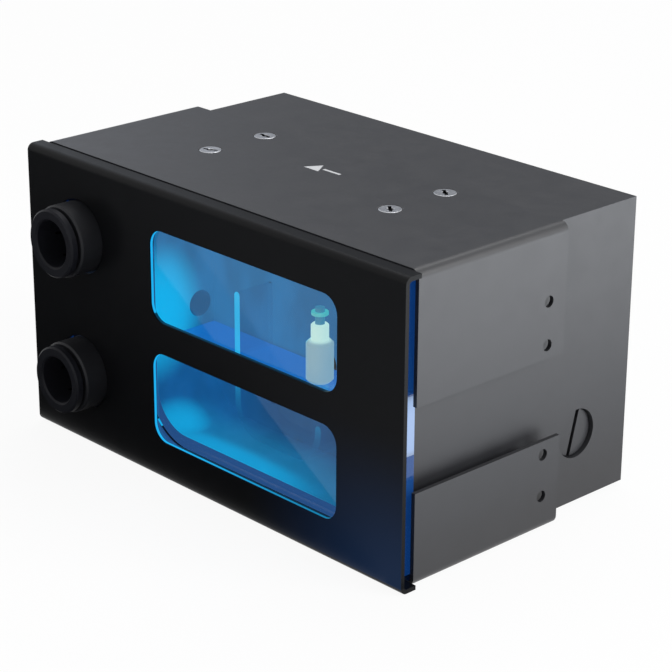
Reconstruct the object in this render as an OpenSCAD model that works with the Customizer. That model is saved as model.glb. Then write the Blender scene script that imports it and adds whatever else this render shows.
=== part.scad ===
// Coolant pump reservoir for two stacked 5.25-inch drive bays.
// Millimetres. +X runs across the unit, +Y from the front panel to the rear cover, +Z up.
// Inside the modules y = 0 is the face of the front panel and z = 0 the underside of the
// lower bracket. The finished unit is then centred on y, with its origin on the ground.

/* [Bay format] */
// Width over the bracket flanges
bracket_w = 146; // [143:0.5:148]
// Height of the unit over both brackets
unit_h = 83.8; // [82:0.2:88]
// Depth from the face of the front panel to the back of the rear cover
unit_depth = 90.7; // [89.5:0.1:110]
// Height of the lowest side screw hole above the underside
bay_hole_z = 10; // [7:0.5:12]
// Height between the two side screw holes of one bay
bay_hole_step = 11.84; // [8:0.01:12]
// Height between the same holes of the two bays
bay_pitch = 42.3; // [41:0.1:44]
// Distance of the side screw holes behind the front panel's lips
bay_hole_setback = 47.4; // [30:0.1:49]
// Diameter of the side screw holes
bay_hole_d = 3.2; // [2.5:0.1:4]

/* [Sheet metal] */
// Thickness of the sheet of the panel and brackets
sheet_t = 1.2; // [0.8:0.1:1.5]
// Outer radius of the brackets' bends
bracket_bend_r = 2.5; // [1.6:0.1:3]
// Outer radius of the front panel's bends
panel_bend_r = 2; // [1.6:0.1:3]
// Depth of the brackets from front to back
bracket_depth = 53.2; // [51:0.1:54]
// Sheet below the middle of the upper bracket's lowest screw hole
top_flange_rim = 3.7; // [2.6:0.1:12]
// Sheet above the middle of the lower bracket's highest screw hole
bottom_flange_rim = 3.86; // [2.6:0.01:12]
// Gap between the front panel's lips and the brackets
lip_seam = 0.5; // [0.2:0.1:1]
// Play between the flanges and the tank and pump housing
flange_gap = 3.3; // [2.5:0.1:4]

/* [Front panel] */
// Amount by which the front panel stands out past the flanges at each side
panel_over = 1.35; // [0.5:0.05:2]
// Amount by which the front panel is lower than the unit
panel_drop = 0.4; // [0.2:0.1:1]
// Depth of the front panel over its lips
lip_depth = 5.2; // [4:0.1:6]
// Distance that the chamber runs on behind the left edge of the windows
window_left_rim = 9.65; // [4:0.05:20]
// Distance that the chamber runs on behind the right edge of the windows
window_right_rim = 9.05; // [4:0.05:20]
// Height of each window
window_h = 26; // [18:0.5:30]
// Corner radius of the windows
window_r = 5; // [2:0.5:8]
// Height between the centres of the two windows
window_pitch = 34.8; // [32:0.1:36]
// Gap between the panel's round holes and the tube connectors
connector_gap = 0.5; // [0.3:0.1:1]

/* [Tank] */
// Thickness of the clear window plate
plate_t = 8; // [7:0.5:9]
// Amount by which the window plate is wider than the tank at each side
plate_over = 0.5; // [0.2:0.05:1.5]
// Height of the coolant chamber
chamber_h = 63.8; // [58:0.1:65]
// Depth of the coolant chamber
chamber_depth = 21; // [18:0.5:23]
// Radius of the chamber's milled corners
chamber_r = 12; // [8:0.5:14]
// Wall at the right of the chamber
chamber_side_wall = 8.5; // [8.5:0.1:10]
// Wall between the chamber and the tube connectors
chamber_inner_wall = 11; // [6:0.5:12]
// Wall at the back of the chamber
chamber_back_wall = 10; // [8.5:0.1:12]
// Diameter of the seal cords in the tank
seal_d = 2.4; // [2:0.1:2.6]
// Distance from the chamber's edge to the middle of its seal
seal_inset = 3; // [2.5:0.1:3.2]
// Thickness of the flow baffle
baffle_t = 2; // [1.2:0.1:3]
// Inner radius of the baffle's lower bends
baffle_r = 8; // [5:0.5:10]
// Height of the baffle's long leg
baffle_h = 41; // [30:0.5:45]
// Height of the baffle's short leg
baffle_short_h = 12; // [11:0.5:20]
// Distance from the pump's axis to the outer face of the baffle's long leg
baffle_reach = 22.3; // [18:0.1:24]
// Width of the pocket inside the baffle
baffle_pocket_w = 30; // [24:0.5:32]
// Depth of the baffle from the chamber's back wall
baffle_depth = 12; // [8:0.5:15]
// Gap between the baffle and the chamber's floor
baffle_floor_gap = 2.4; // [1:0.1:4]
// Height of the milky light guides at the plate's sides
light_guide_h = 16; // [10:0.5:20]
// Depth of the light guides' notches in the plate's sides
light_guide_w = 3; // [2:0.1:4]

/* [Tube connectors] */
// Distance from the panel's left edge to the connectors' axes
connector_edge = 22.2; // [20.5:0.1:22.5]
// Height between the two connectors
connector_pitch = 40; // [30:0.5:44]
// Outer diameter of a connector's body
connector_d = 20.3; // [19.5:0.1:20.6]
// Length of a connector's body outside the panel
connector_proud = 6.6; // [5:0.1:9]
// Depth of a connector's seat in the tank behind the window plate
connector_seat = 5; // [4.5:0.1:6]
// Outer diameter of the coolant tube
tube_d = 13; // [12:0.1:13]
// Play between the tube and the release collet
tube_play = 0.1; // [0.05:0.01:0.2]
// Play between the collet's sleeve and the connector
collet_play = 0.05; // [0.02:0.01:0.1]
// Wall of the collet's sleeve
collet_wall = 1.25; // [1:0.05:1.4]
// Diameter of the collet's pressing rim
collet_rim_d = 19.2; // [17:0.1:19.3]
// Thickness of the collet's pressing rim
collet_rim_t = 2; // [1.5:0.1:3]
// Travel of the collet when it is pressed
collet_travel = 1; // [0.8:0.1:1.5]

/* [Level float] */
// Diameter of the float
float_d = 7.4; // [6:0.1:7.6]
// Height of the float's body
float_h = 11.6; // [8:0.1:12]
// Diameter of the float's neck
float_neck_d = 4.8; // [4.2:0.1:5.5]
// Height of the float's neck
float_neck_h = 4.6; // [3:0.1:5]
// Diameter of the float's stem
stem_d = 2.6; // [2:0.1:2.8]
// Play between the stem and the float
float_play = 0.1; // [0.05:0.01:0.1]
// Rise of the float from its lower clip to its upper clip
float_travel = 2.5; // [1.5:0.1:4]
// Distance from the stem to the chamber's back wall
stem_setback = 8.2; // [6:0.1:10]
// Distance from the chamber's right wall to the stem
stem_edge = 38.7; // [36:0.1:48]
// Height of the float's underside above the chamber's floor
float_floor = 25.4; // [22:0.1:27]

/* [Pump] */
// Distance from the pump's axis to the chamber's right wall
pump_edge = 46; // [45:0.5:50]
// Height of the pump's axis above the chamber's floor
pump_floor = 26; // [25:0.5:32]
// Diameter of the impeller
impeller_d = 29; // [24:0.5:30]
// Number of impeller vanes
vane_count = 7; // [5:1:9]
// Diameter of the rotor magnet
rotor_d = 18; // [14:0.5:18.4]
// Diameter of the ceramic shaft
shaft_d = 3; // [2:0.1:4]
// Radial play of the rotor on its shaft
shaft_play = 0.05; // [0.02:0.01:0.1]
// Diameter of the suction eye
eye_d = 10; // [8:0.5:12]
// Depth of the volute
volute_depth = 8; // [7.6:0.1:9]
// Diameter of the pump's clamping flange
pump_flange_d = 59; // [57:0.5:60]
// Outer diameter of the motor shell
motor_d = 47.2; // [46:0.1:48]
// Length of the motor shell behind the clamping flange
motor_length = 23.8; // [23.5:0.1:25]
// Wall of the motor shell
motor_wall = 2.4; // [1.6:0.1:2.6]

/* [Pump housing] */
// Depth of the solid manifold in front of the pump bay
manifold_depth = 18; // [17:0.1:20]
// Wall of the pump bay
bay_wall = 4; // [3:0.1:4.5]
// Thickness of the rear cover
cover_t = 2.5; // [2:0.1:3.5]
// Width of the ledge that the rear cover sits in
cover_ledge = 1.5; // [1:0.1:2]
// Diameter of the coolant galleries
gallery_d = 7.6; // [6:0.1:7.6]
// Distance of the side plug from the rear face
plug_setback = 19.9; // [18:0.1:24]
// Height of the side plug above the chamber's floor
plug_floor = 11; // [9:0.1:13]
// Diameter of the side plug
plug_d = 13.6; // [13:0.1:14]
// Length of the side plug
plug_length = 9; // [7:0.1:10]
// Depth of the side plug's face below the housing's side
plug_recess = 1.2; // [0.8:0.1:2]
// Radial play around the side plug
plug_play = 0.12; // [0.08:0.01:0.2]

/* [Screws] */
// Distance of the bracket screws from the middle
bracket_screw_x = 35.2; // [34:0.1:50]
// Distance of the front bracket screws behind the panel's face
bracket_screw_y = 33.3; // [32.5:0.1:36]
// Distance between the front and rear bracket screws
bracket_screw_step = 20.1; // [15:0.1:21]
// Head diameter of the bracket screws
bracket_screw_head = 6.8; // [6:0.1:7.5]
// Shank diameter of the bracket screws
bracket_screw_d = 3.8; // [3:0.1:4.2]
// Length of the bracket screws
bracket_screw_length = 8; // [6:0.5:9]
// Diameter of the long tank screws
tank_screw_d = 4; // [3:0.1:4.5]
// Length of the long tank screws
tank_screw_length = 50; // [45:1:52]
// Distance of the corner screws from the tank's edges
tank_screw_inset = 5.2; // [4.5:0.1:5.5]
// Shank diameter of the rear cover screws
cover_screw_d = 3; // [2.5:0.1:3.5]
// Diameter of the pump screws
pump_screw_d = 3; // [2.5:0.1:3.2]

/* [Hidden] */
$fn = 48;
eps = 0.01;
through = 1;

half_bracket = bracket_w / 2;
half_panel = half_bracket + panel_over;
panel_w = 2 * half_panel;
mid_z = unit_h / 2;
panel_h = unit_h - panel_drop;
bracket_y = lip_depth + lip_seam;
bay_hole_y = lip_depth + bay_hole_setback;
bottom_hole_zs = [bay_hole_z, bay_hole_z + bay_hole_step];
top_hole_zs = [bay_hole_z + bay_pitch, bay_hole_z + bay_pitch + bay_hole_step];
bottom_flange_h = bottom_hole_zs[1] + bottom_flange_rim;
top_flange_h = unit_h - top_hole_zs[0] + top_flange_rim;

// Room left at the end of every drilled screw hole, and the depth of a full thread.
drill_over = 0.5;
thread_depth = 8;
screw_spacing = 2;

// The tank and the pump housing share one rectangular section between the brackets.
body_x = half_bracket - sheet_t - flange_gap;
body_z0 = sheet_t;
body_z1 = unit_h - sheet_t;
body_h = body_z1 - body_z0;

plate_y0 = sheet_t;
plate_y1 = plate_y0 + plate_t;
plate_x = body_x + plate_over;
plate_z0 = panel_drop / 2 + sheet_t;
plate_z1 = unit_h - plate_z0;
plate_fit = 0.1;
plate_chamfer = panel_bend_r - sheet_t + plate_fit;

connector_x = -half_panel + connector_edge;
connector_zs = [mid_z - connector_pitch / 2, mid_z + connector_pitch / 2];
connector_y1 = plate_y1 + connector_seat;
connector_r = connector_d / 2;
connector_fit = 0.1;
connector_step = 3;
connector_lip = 1.2;

chamber_x0 = connector_x + connector_r + chamber_inner_wall;
chamber_x1 = body_x - chamber_side_wall;
chamber_w = chamber_x1 - chamber_x0;
chamber_x = (chamber_x0 + chamber_x1) / 2;
chamber_z0 = mid_z - chamber_h / 2;
chamber_y1 = plate_y1 + chamber_depth;
tank_y1 = chamber_y1 + chamber_back_wall;
window_w = chamber_w - window_left_rim - window_right_rim;
window_x = chamber_x0 + window_left_rim + window_w / 2;
seal_half = seal_d / 2;
seal_play = 0.1;

// Inside of a tube connector, from its mouth to the shoulder that stops the tube.
edge_chamfer = 0.5;
tube_r = tube_d / 2;
collet_r0 = tube_r + tube_play;
collet_r1 = collet_r0 + collet_wall;
collet_bore = collet_r1 + collet_play;
collet_stand = 0.04;
collet_rim_y1 = -connector_proud - collet_travel - collet_stand;
collet_y0 = collet_rim_y1 - collet_rim_t;
collet_sleeve_y1 = 2;
collet_slit_w = 1;
collet_slit_depth = 5;
grab_gap = 0.2;
grab_y0 = collet_sleeve_y1 + collet_travel + grab_gap;
grab_t = 0.6;
grab_groove = 0.8;
grab_fit = 0.05;
grab_slit_w = 0.7;
tube_stop_y = connector_y1 - connector_step;
tube_seal_y = (grab_y0 + grab_t + tube_stop_y) / 2;
tube_seal_r = (collet_bore - tube_r) / 2 - grab_fit;
port_seal_d = 1.44;
port_seal_setback = 1.6;
port_seal_y = connector_y1 - port_seal_setback;
ring_fit = 0.02;

gallery_r = gallery_d / 2;
gallery_wall = 1.2;
return_y = chamber_y1 - gallery_r - gallery_wall;
return_z = mid_z;

// Pump stack along its axis.
pump_x = chamber_x1 - pump_edge;
pump_z = chamber_z0 + pump_floor;
volute_y1 = tank_y1 + manifold_depth;
volute_y0 = volute_y1 - volute_depth;
impeller_r = impeller_d / 2;
impeller_front_gap = 1;
impeller_back_gap = 0.8;
impeller_y0 = volute_y0 + impeller_front_gap;
impeller_y1 = volute_y1 - impeller_back_gap;
vane_t = 1.2;
vane_sweep = 55;
shroud_t = 1.2;
hub_wall = 2.2;
tongue_gap = 1.1;
volute_r = impeller_r + tongue_gap;
volute_growth = 4.4;
outlet_y = volute_y1 - volute_depth / 2;
outlet_z = connector_zs[0];
can_flange_t = 2;
can_length = 15.8;
can_wall = 0.8;
can_gap = 0.6;
can_r0 = rotor_d / 2 + can_gap;
can_r1 = can_r0 + can_wall;
can_y0 = volute_y1;
can_y1 = can_y0 + can_flange_t + can_length;
can_floor_t = 1.2;
rotor_end_gap = 2.8;
rotor_y0 = can_y0 + impeller_back_gap + 0.2;
rotor_y1 = can_y1 - can_floor_t - rotor_end_gap;
shaft_seat = 2;
shaft_nose = 0.6;
shaft_r = shaft_d / 2;
bush_wall = 1.5;
bush_r = shaft_r + bush_wall;
hub_r = bush_r + hub_wall;
pump_flange_r = pump_flange_d / 2;
motor_y0 = can_y0 + can_flange_t;
motor_y1 = motor_y0 + motor_length;
motor_flange_t = 3;
lead_hole_r = 3;
stator_gap = 0.3;
stator_r0 = can_r1 + stator_gap;
stator_r1 = motor_d / 2 - motor_wall;
stator_setback = 3.5;
stator_y0 = motor_y0 + stator_setback;
stator_length = 9;
stator_poles = 6;
pole_t = 4;
yoke_t = 3;
coil_t = 1.5;
coil_over = 1.6;
coil_fit = 0.1;
board_gap = 0.8;
board_y0 = can_y1 + board_gap;
board_t = 1.6;
pump_screw_r = (motor_d / 2 + pump_flange_r) / 2;
pump_screw_grip = 7;
pump_screw_head_h = 2;
pump_seal_inset = 1.5;
pump_seal_d = 1.6;
pump_seal_r = motor_d / 2 - pump_seal_inset;

// Pump housing.
cover_y0 = unit_depth - cover_t;
cover_fit = 0.1;
cover_screw_length = 10;
bay_x = body_x - bay_wall;
bay_z0 = body_z0 + bay_wall;
bay_z1 = body_z1 - bay_wall;
bay_corner_r = 3;
boss_r = 4;
boss_sink = 1;
boss_x = bay_x - boss_r + boss_sink;
boss_zs = [bay_z0 + boss_r - boss_sink, bay_z1 - boss_r + boss_sink];
plug_y = unit_depth - plug_setback;
plug_z = chamber_z0 + plug_floor;
plug_r = plug_d / 2;
plug_x1 = body_x - plug_recess;
plug_flange_t = 2.2;
plug_shoulder = 1.3;
plug_thread_r = plug_r - plug_shoulder;
plug_chamfer = 0.3;
plug_tip_chamfer = 1;
plug_hollow_r = 3;
plug_hollow_depth = 4;
plug_seal_d = 1.2;
plug_seal_play = 0.1;
plug_seat_x = plug_x1 - plug_flange_t - plug_seal_d - plug_seal_play;
plug_slot_w = 1.3;
plug_slot_depth = 1.6;
plug_slot_turn = 14.5;
drain_inset = 8;
drain_x = chamber_x1 - drain_inset;
rail_wall = 4;
rail_x0 = drain_x - gallery_r - rail_wall;
rail_z1 = plug_z + plug_r + rail_wall;
rail_y1 = plug_y + plug_r + rail_wall;
socket_reach = 44;
socket_x = pump_x - socket_reach;
socket_rise = 28.8;
socket_z = body_z0 + socket_rise;
socket_w = 22;
socket_h = 9;
socket_length = 11;
socket_wall = 1.2;
socket_collar = 1.5;
socket_floor = 2;
socket_fit = 0.1;
pin_r = 0.9;
pin_pitch = 4.8;
pin_setback = 4.6;

tank_screw_x = body_x - tank_screw_inset;
tank_screw_zs = [body_z0 + tank_screw_inset, body_z1 - tank_screw_inset];
tank_screw_middle = -bracket_screw_x - (bracket_screw_d + tank_screw_d) / 2 - screw_spacing;
tank_screw_xs = [-tank_screw_x, tank_screw_middle, tank_screw_x];

guide_board_t = 1;
guide_board_w = 2.4;
guide_board_h = light_guide_h - 2;
guide_board_x = body_x - 1.9;
guide_pocket_depth = 2.6;
guide_fit = 0.2;
guide_chip = 1.2;
guide_chip_w = 2;

stem_x = chamber_x1 - stem_edge;
stem_y = chamber_y1 - stem_setback;
float_z0 = chamber_z0 + float_floor;
float_top = float_z0 + float_h + float_neck_h;
float_chamfer = 0.8;
clip_t = 0.8;
clip_wall = 1;
clip_r = stem_d / 2 + clip_wall;
clip_stand = 0.04;
stem_nose = 1.2;
stem_top = float_top + float_travel + clip_t + stem_nose;
stem_foot = 5;
stem_z0 = float_z0 - stem_foot;
arm_r = 2.2;
arm_seat = 4;

// The unit is centred between the collets' faces and the rear cover.
mid_y = (collet_y0 + unit_depth) / 2;

// ---------------------------------------------------------------- shared shapes

// Draws a flat shape, given across and up, as a slab between two depths.
module slab(y0, y1) translate([0, y1, 0]) rotate([90, 0, 0]) linear_extrude(y1 - y0) children();

// A round bar or bore along the depth.
module rod_y(x, z, r, y0, y1) translate([x, y0, z]) rotate([-90, 0, 0]) cylinder(r = r, h = y1 - y0);

// A round bar or bore across the unit.
module rod_x(y, z, r, x0, x1) translate([x0, y, z]) rotate([0, 90, 0]) cylinder(r = r, h = x1 - x0);

// A round bar or bore up the unit.
module rod_z(x, y, r, z0, z1) translate([x, y, z0]) cylinder(r = r, h = z1 - z0);

// A rectangle with round corners, centred on the origin.
module rounded_2d(w, h, r) {
    square([w - 2 * r, h], center = true);
    square([w, h - 2 * r], center = true);
    for (sx = [-1, 1], sz = [-1, 1]) translate([sx * (w / 2 - r), sz * (h / 2 - r)]) circle(r = r);
}

// Half of a rounded rectangle: round corners at the closed end y = 0, open towards +y.
module trough_2d(w, h, r) {
    translate([-w / 2, r]) square([w, h - r]);
    translate([r - w / 2, 0]) square([w - 2 * r, h]);
    for (s = [-1, 1]) translate([s * (w / 2 - r), r]) circle(r = r);
}

// Section of a sheet bent into a channel.
module channel_2d(w, h, r, t) difference() {
    trough_2d(w, h, r);
    translate([0, t]) trough_2d(w - 2 * t, h, r - t);
}

// A ring of round cord about the depth axis.
module cord_ring_y(x, y, z, ring_r, cord_r) translate([x, y, z]) rotate([-90, 0, 0])
    rotate_extrude() translate([ring_r, 0]) circle(r = cord_r, $fn = 20);

// Ring-shaped groove or washer about the depth axis.
module band_y(x, z, r0, r1, y0, y1) difference() {
    rod_y(x, z, r1, y0, y1);
    rod_y(x, z, r0, y0 - through, y1 + through);
}

// Countersunk screw pointing down from z = 0, with a cross recess in its head.
module countersunk_screw(head_d, shank_d, length) difference() {
    head_h = (head_d - shank_d) / 2;
    union() {
        translate([0, 0, -head_h]) cylinder(r1 = shank_d / 2, r2 = head_d / 2, h = head_h);
        translate([0, 0, -length]) cylinder(r = shank_d / 2, h = length - head_h / 2);
    }
    recess = head_d * 0.56;
    recess_w = head_d * 0.13;
    recess_depth = head_h * 0.6;
    for (turn = [0, 90]) rotate(turn) translate([0, 0, -recess_depth / 2 + eps])
        cube([recess, recess_w, recess_depth + 2 * eps], center = true);
}

// Countersink and shank hole for the same screw, with a little play.
module countersink(head_d, shank_d, length) {
    head_h = (head_d - shank_d) / 2;
    translate([0, 0, -head_h]) cylinder(r1 = shank_d / 2, r2 = head_d / 2, h = head_h);
    translate([0, 0, -length - drill_over])
        cylinder(r = shank_d / 2, h = length + drill_over - head_h / 2);
    cylinder(r = head_d / 2, h = through);
}

// Places of the four screws in one bracket.
module at_bracket_screws() for (sx = [-1, 1], row = [0, 1])
    translate([sx * bracket_screw_x, bracket_screw_y + row * bracket_screw_step, 0]) children();

// Places of the six long screws through the tank, turned to point to the rear.
module at_tank_screws() for (x = tank_screw_xs, z = tank_screw_zs)
    translate([x, plate_y0, z]) rotate([90, 0, 0]) children();

// Places of the rear cover's screws, turned to point to the front.
module at_cover_screws() for (sx = [-1, 1], z = boss_zs)
    translate([sx * boss_x, unit_depth, z]) rotate([-90, 0, 0]) children();

// Places of the pump's screws around its axis.
module at_pump_screws() for (turn = [60:90:330])
    translate([pump_x + pump_screw_r * cos(turn), 0, pump_z + pump_screw_r * sin(turn)]) children();

// ---------------------------------------------------------------- sheet metal

module front_panel() color("#141518") difference() {
    translate([-half_panel, 0, mid_z]) rotate([90, 0, 90]) linear_extrude(panel_w)
        rotate(-90) channel_2d(panel_h, lip_depth, panel_bend_r, sheet_t);
    for (side = [-1, 1]) translate([window_x, 0, mid_z + side * window_pitch / 2])
        slab(-through, sheet_t + through) rounded_2d(window_w, window_h, window_r);
    for (z = connector_zs)
        rod_y(connector_x, z, connector_r + connector_gap, -through, sheet_t + through);
}

// A U-shaped bracket with its web down at z = 0.
module bracket(flange_h, hole_zs) difference() {
    slab(bracket_y, bracket_y + bracket_depth) channel_2d(bracket_w, flange_h, bracket_bend_r, sheet_t);
    for (z = hole_zs)
        rod_x(bay_hole_y, z, bay_hole_d / 2, -half_bracket - through, half_bracket + through);
    at_bracket_screws() rotate([180, 0, 0])
        countersink(bracket_screw_head, bracket_screw_d, bracket_screw_length);
}

module bottom_bracket() color("#1b1c1f")
    bracket(bottom_flange_h, bottom_hole_zs);

module top_bracket() color("#1b1c1f") translate([0, 0, unit_h]) mirror([0, 0, 1])
    bracket(top_flange_h, [for (z = top_hole_zs) unit_h - z]);

module bottom_bracket_screws() color("silver") at_bracket_screws() rotate([180, 0, 0])
    countersunk_screw(bracket_screw_head, bracket_screw_d, bracket_screw_length);

module top_bracket_screws() color("silver") translate([0, 0, unit_h]) at_bracket_screws()
    countersunk_screw(bracket_screw_head, bracket_screw_d, bracket_screw_length);

// ---------------------------------------------------------------- tank

// Outline of the chamber, grown on all sides.
module chamber_2d(grow) translate([chamber_x, mid_z])
    rounded_2d(chamber_w + 2 * grow, chamber_h + 2 * grow, chamber_r + grow);

module light_guide_notch(side) {
    y_room = plate_t + 2 * through;
    translate([side * (plate_x - light_guide_w / 2 + through / 2), (plate_y0 + plate_y1) / 2, mid_z])
        cube([light_guide_w + through, y_room, light_guide_h], center = true);
}

// Clear plate that fills the folded panel. Its front edges are chamfered to clear the inner bends.
module window_plate() color([0.35, 0.65, 0.95, 0.35]) difference() {
    translate([-plate_x, 0, 0]) rotate([90, 0, 90]) linear_extrude(2 * plate_x) polygon([
        [plate_y0, plate_z0 + plate_chamfer],
        [plate_y0 + plate_chamfer, plate_z0],
        [plate_y1, plate_z0],
        [plate_y1, plate_z1],
        [plate_y0 + plate_chamfer, plate_z1],
        [plate_y0, plate_z1 - plate_chamfer]
    ]);
    for (z = connector_zs)
        rod_y(connector_x, z, connector_r + connector_fit, plate_y0 - through, plate_y1 + through);
    for (side = [-1, 1]) light_guide_notch(side);
    at_tank_screws() countersink(2 * tank_screw_d, tank_screw_d, tank_screw_length);
}

// Seal cord along the rim of the chamber: round bends and straight runs.
module window_seal() color("#101113") {
    bend_r = chamber_r + seal_inset;
    run_x = chamber_w / 2 - chamber_r;
    run_z = chamber_h / 2 - chamber_r;
    translate([chamber_x, plate_y1 + seal_half + seal_play / 2, mid_z]) rotate([90, 0, 0]) {
        for (turn = [0:90:270]) {
            sx = (turn == 0 || turn == 270) ? 1 : -1;
            sz = turn < 180 ? 1 : -1;
            translate([sx * run_x, sz * run_z, 0]) rotate(turn)
                rotate_extrude(angle = 90) translate([bend_r, 0]) circle(r = seal_half, $fn = 20);
        }
        for (side = [-1, 1]) {
            translate([-run_x, side * (run_z + bend_r), 0]) rotate([0, 90, 0])
                cylinder(r = seal_half, h = 2 * run_x, $fn = 20);
            translate([side * (run_x + bend_r), run_z, 0]) rotate([90, 0, 0])
                cylinder(r = seal_half, h = 2 * run_z, $fn = 20);
        }
    }
}

// Frame around the chamber, with the seats of the tube connectors and the return gallery.
module tank_body() color("#17181b") difference() {
    translate([-body_x, plate_y1, body_z0]) cube([2 * body_x, chamber_depth, body_h]);
    slab(plate_y1 - through, chamber_y1 + through) chamber_2d(0);
    // groove of the window seal
    slab(plate_y1 - through, plate_y1 + seal_d + seal_play) difference() {
        chamber_2d(seal_inset + seal_half + seal_play);
        chamber_2d(seal_inset - seal_half - seal_play);
    }
    for (z = connector_zs)
        rod_y(connector_x, z, connector_r + connector_fit, plate_y1 - through, connector_y1);
    rod_y(connector_x, connector_zs[0], gallery_r, plate_y1, chamber_y1 + through);
    rod_y(connector_x, connector_zs[1], gallery_r, plate_y1, return_y + gallery_r);
    rod_z(connector_x, return_y, gallery_r, return_z, connector_zs[1]);
    rod_x(return_y, return_z, gallery_r, connector_x, chamber_x0 + through);
    // pockets of the light boards behind the light guides
    for (side = [-1, 1]) light_board_pocket(side);
    at_tank_screws() countersink(2 * tank_screw_d, tank_screw_d, tank_screw_length);
}

// Pocket of a light board in the front of the frame, behind a light guide.
module light_board_pocket(side) {
    pocket_w = guide_board_w + 2 * guide_fit;
    pocket_h = guide_board_h + 2 * guide_fit;
    translate([side * guide_board_x, plate_y1 + (guide_pocket_depth - through) / 2, mid_z])
        cube([pocket_w, guide_pocket_depth + through, pocket_h], center = true);
}

// Back wall bonded to the frame, with the suction eye and the supply and drain galleries.
module tank_back() color("#17181b") difference() {
    translate([-body_x, chamber_y1, body_z0]) cube([2 * body_x, chamber_back_wall, body_h]);
    rod_y(connector_x, connector_zs[0], gallery_r, chamber_y1 - through, tank_y1 + through);
    rod_y(pump_x, pump_z, eye_d / 2, chamber_y1 - through, tank_y1 + through);
    rod_y(drain_x, plug_z, gallery_r, chamber_y1 - through, tank_y1 + through);
    rod_y(stem_x, stem_z0, arm_r, chamber_y1 - through, chamber_y1 + arm_seat);
    at_tank_screws() countersink(2 * tank_screw_d, tank_screw_d, tank_screw_length);
    bracket_screw_holes();
}

// Tapped and countersunk holes for the screws of both brackets.
module bracket_screw_holes() {
    at_bracket_screws() rotate([180, 0, 0])
        countersink(bracket_screw_head, bracket_screw_d, bracket_screw_length);
    translate([0, 0, unit_h]) at_bracket_screws()
        countersink(bracket_screw_head, bracket_screw_d, bracket_screw_length);
}

module tank_screws() color("silver") at_tank_screws()
    countersunk_screw(2 * tank_screw_d, tank_screw_d, tank_screw_length);

// J-shaped weir around the suction eye: a long leg, two bends and a short leg.
module flow_baffle() color([0.3, 0.85, 1, 0.6]) {
    outer_r = baffle_r + baffle_t;
    outer_w = baffle_pocket_w + 2 * baffle_t;
    tip_r = baffle_t / 2;
    floor_z = chamber_z0 + baffle_floor_gap;
    translate([pump_x - baffle_reach, 0, floor_z]) slab(chamber_y1 - baffle_depth, chamber_y1) {
        difference() {
            union() {
                translate([outer_r, outer_r]) circle(r = outer_r);
                translate([outer_w - outer_r, outer_r]) circle(r = outer_r);
                translate([outer_r, 0]) square([outer_w - 2 * outer_r, outer_r]);
            }
            translate([outer_r, outer_r]) circle(r = baffle_r);
            translate([outer_w - outer_r, outer_r]) circle(r = baffle_r);
            translate([outer_r, baffle_t]) square([outer_w - 2 * outer_r, outer_r]);
            translate([-through, outer_r]) square([outer_w + 2 * through, outer_r + through]);
        }
        translate([0, outer_r - eps]) square([baffle_t, baffle_h - outer_r - tip_r + eps]);
        translate([tip_r, baffle_h - tip_r]) circle(r = tip_r);
        translate([outer_w - baffle_t, outer_r - eps])
            square([baffle_t, baffle_short_h - outer_r - tip_r + eps]);
        translate([outer_w - tip_r, baffle_short_h - tip_r]) circle(r = tip_r);
    }
}

// Milky bar that spreads light into one side of the window plate.
module light_guide(side) color("#dfe4ff")
    translate([side * (plate_x - light_guide_w / 2), (plate_y0 + plate_y1) / 2, mid_z])
        cube([light_guide_w - 0.1, plate_t, light_guide_h - 0.1], center = true);

module left_light_guide() light_guide(-1);
module right_light_guide() light_guide(1);

// A narrow board in a pocket behind each light guide, with two light sources that face the guide.
module light_boards() for (side = [-1, 1]) translate([side * guide_board_x, plate_y1, mid_z]) {
    chip_y = guide_pocket_depth - guide_board_t - guide_chip;
    color("#103a24") translate([0, guide_pocket_depth - guide_board_t / 2, 0])
        cube([guide_board_w, guide_board_t, guide_board_h], center = true);
    color("#f2efe0") for (step = [-1, 1])
        translate([0, chip_y + (guide_chip + eps) / 2, step * guide_board_h / 4])
            cube([guide_chip_w, guide_chip + eps, guide_chip_w], center = true);
}

// ---------------------------------------------------------------- level float

module level_sensor_stem() color("#d8dde2") {
    rod_y(stem_x, stem_z0, arm_r, stem_y, chamber_y1 + arm_seat - drill_over);
    rod_z(stem_x, stem_y, stem_d / 2, stem_z0, stem_top);
    translate([stem_x, stem_y, stem_z0]) sphere(r = arm_r);
}

module level_float() color("#f4f6f2") difference() {
    bore_r = stem_d / 2 + float_play;
    translate([stem_x, stem_y, float_z0]) rotate_extrude() polygon([
        [bore_r, 0],
        [float_d / 2 - float_chamfer, 0],
        [float_d / 2, float_chamfer],
        [float_d / 2, float_h - float_chamfer],
        [float_d / 2 - float_chamfer, float_h],
        [float_neck_d / 2, float_h],
        [float_neck_d / 2, float_h + float_neck_h - float_chamfer / 2],
        [float_neck_d / 2 - float_chamfer / 2, float_h + float_neck_h],
        [bore_r, float_h + float_neck_h]
    ]);
}

// Two retaining rings under the float and one above it.
module float_clips() color("#e8ecef") {
    upper = float_top + float_travel + clip_stand;
    lower = float_z0 - clip_stand - clip_t;
    for (z = [lower, lower - 1.8 * clip_t, upper]) difference() {
        rod_z(stem_x, stem_y, clip_r, z, z + clip_t);
        rod_z(stem_x, stem_y, stem_d / 2, z - through, z + clip_t + through);
    }
}

// ---------------------------------------------------------------- tube connectors

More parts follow.
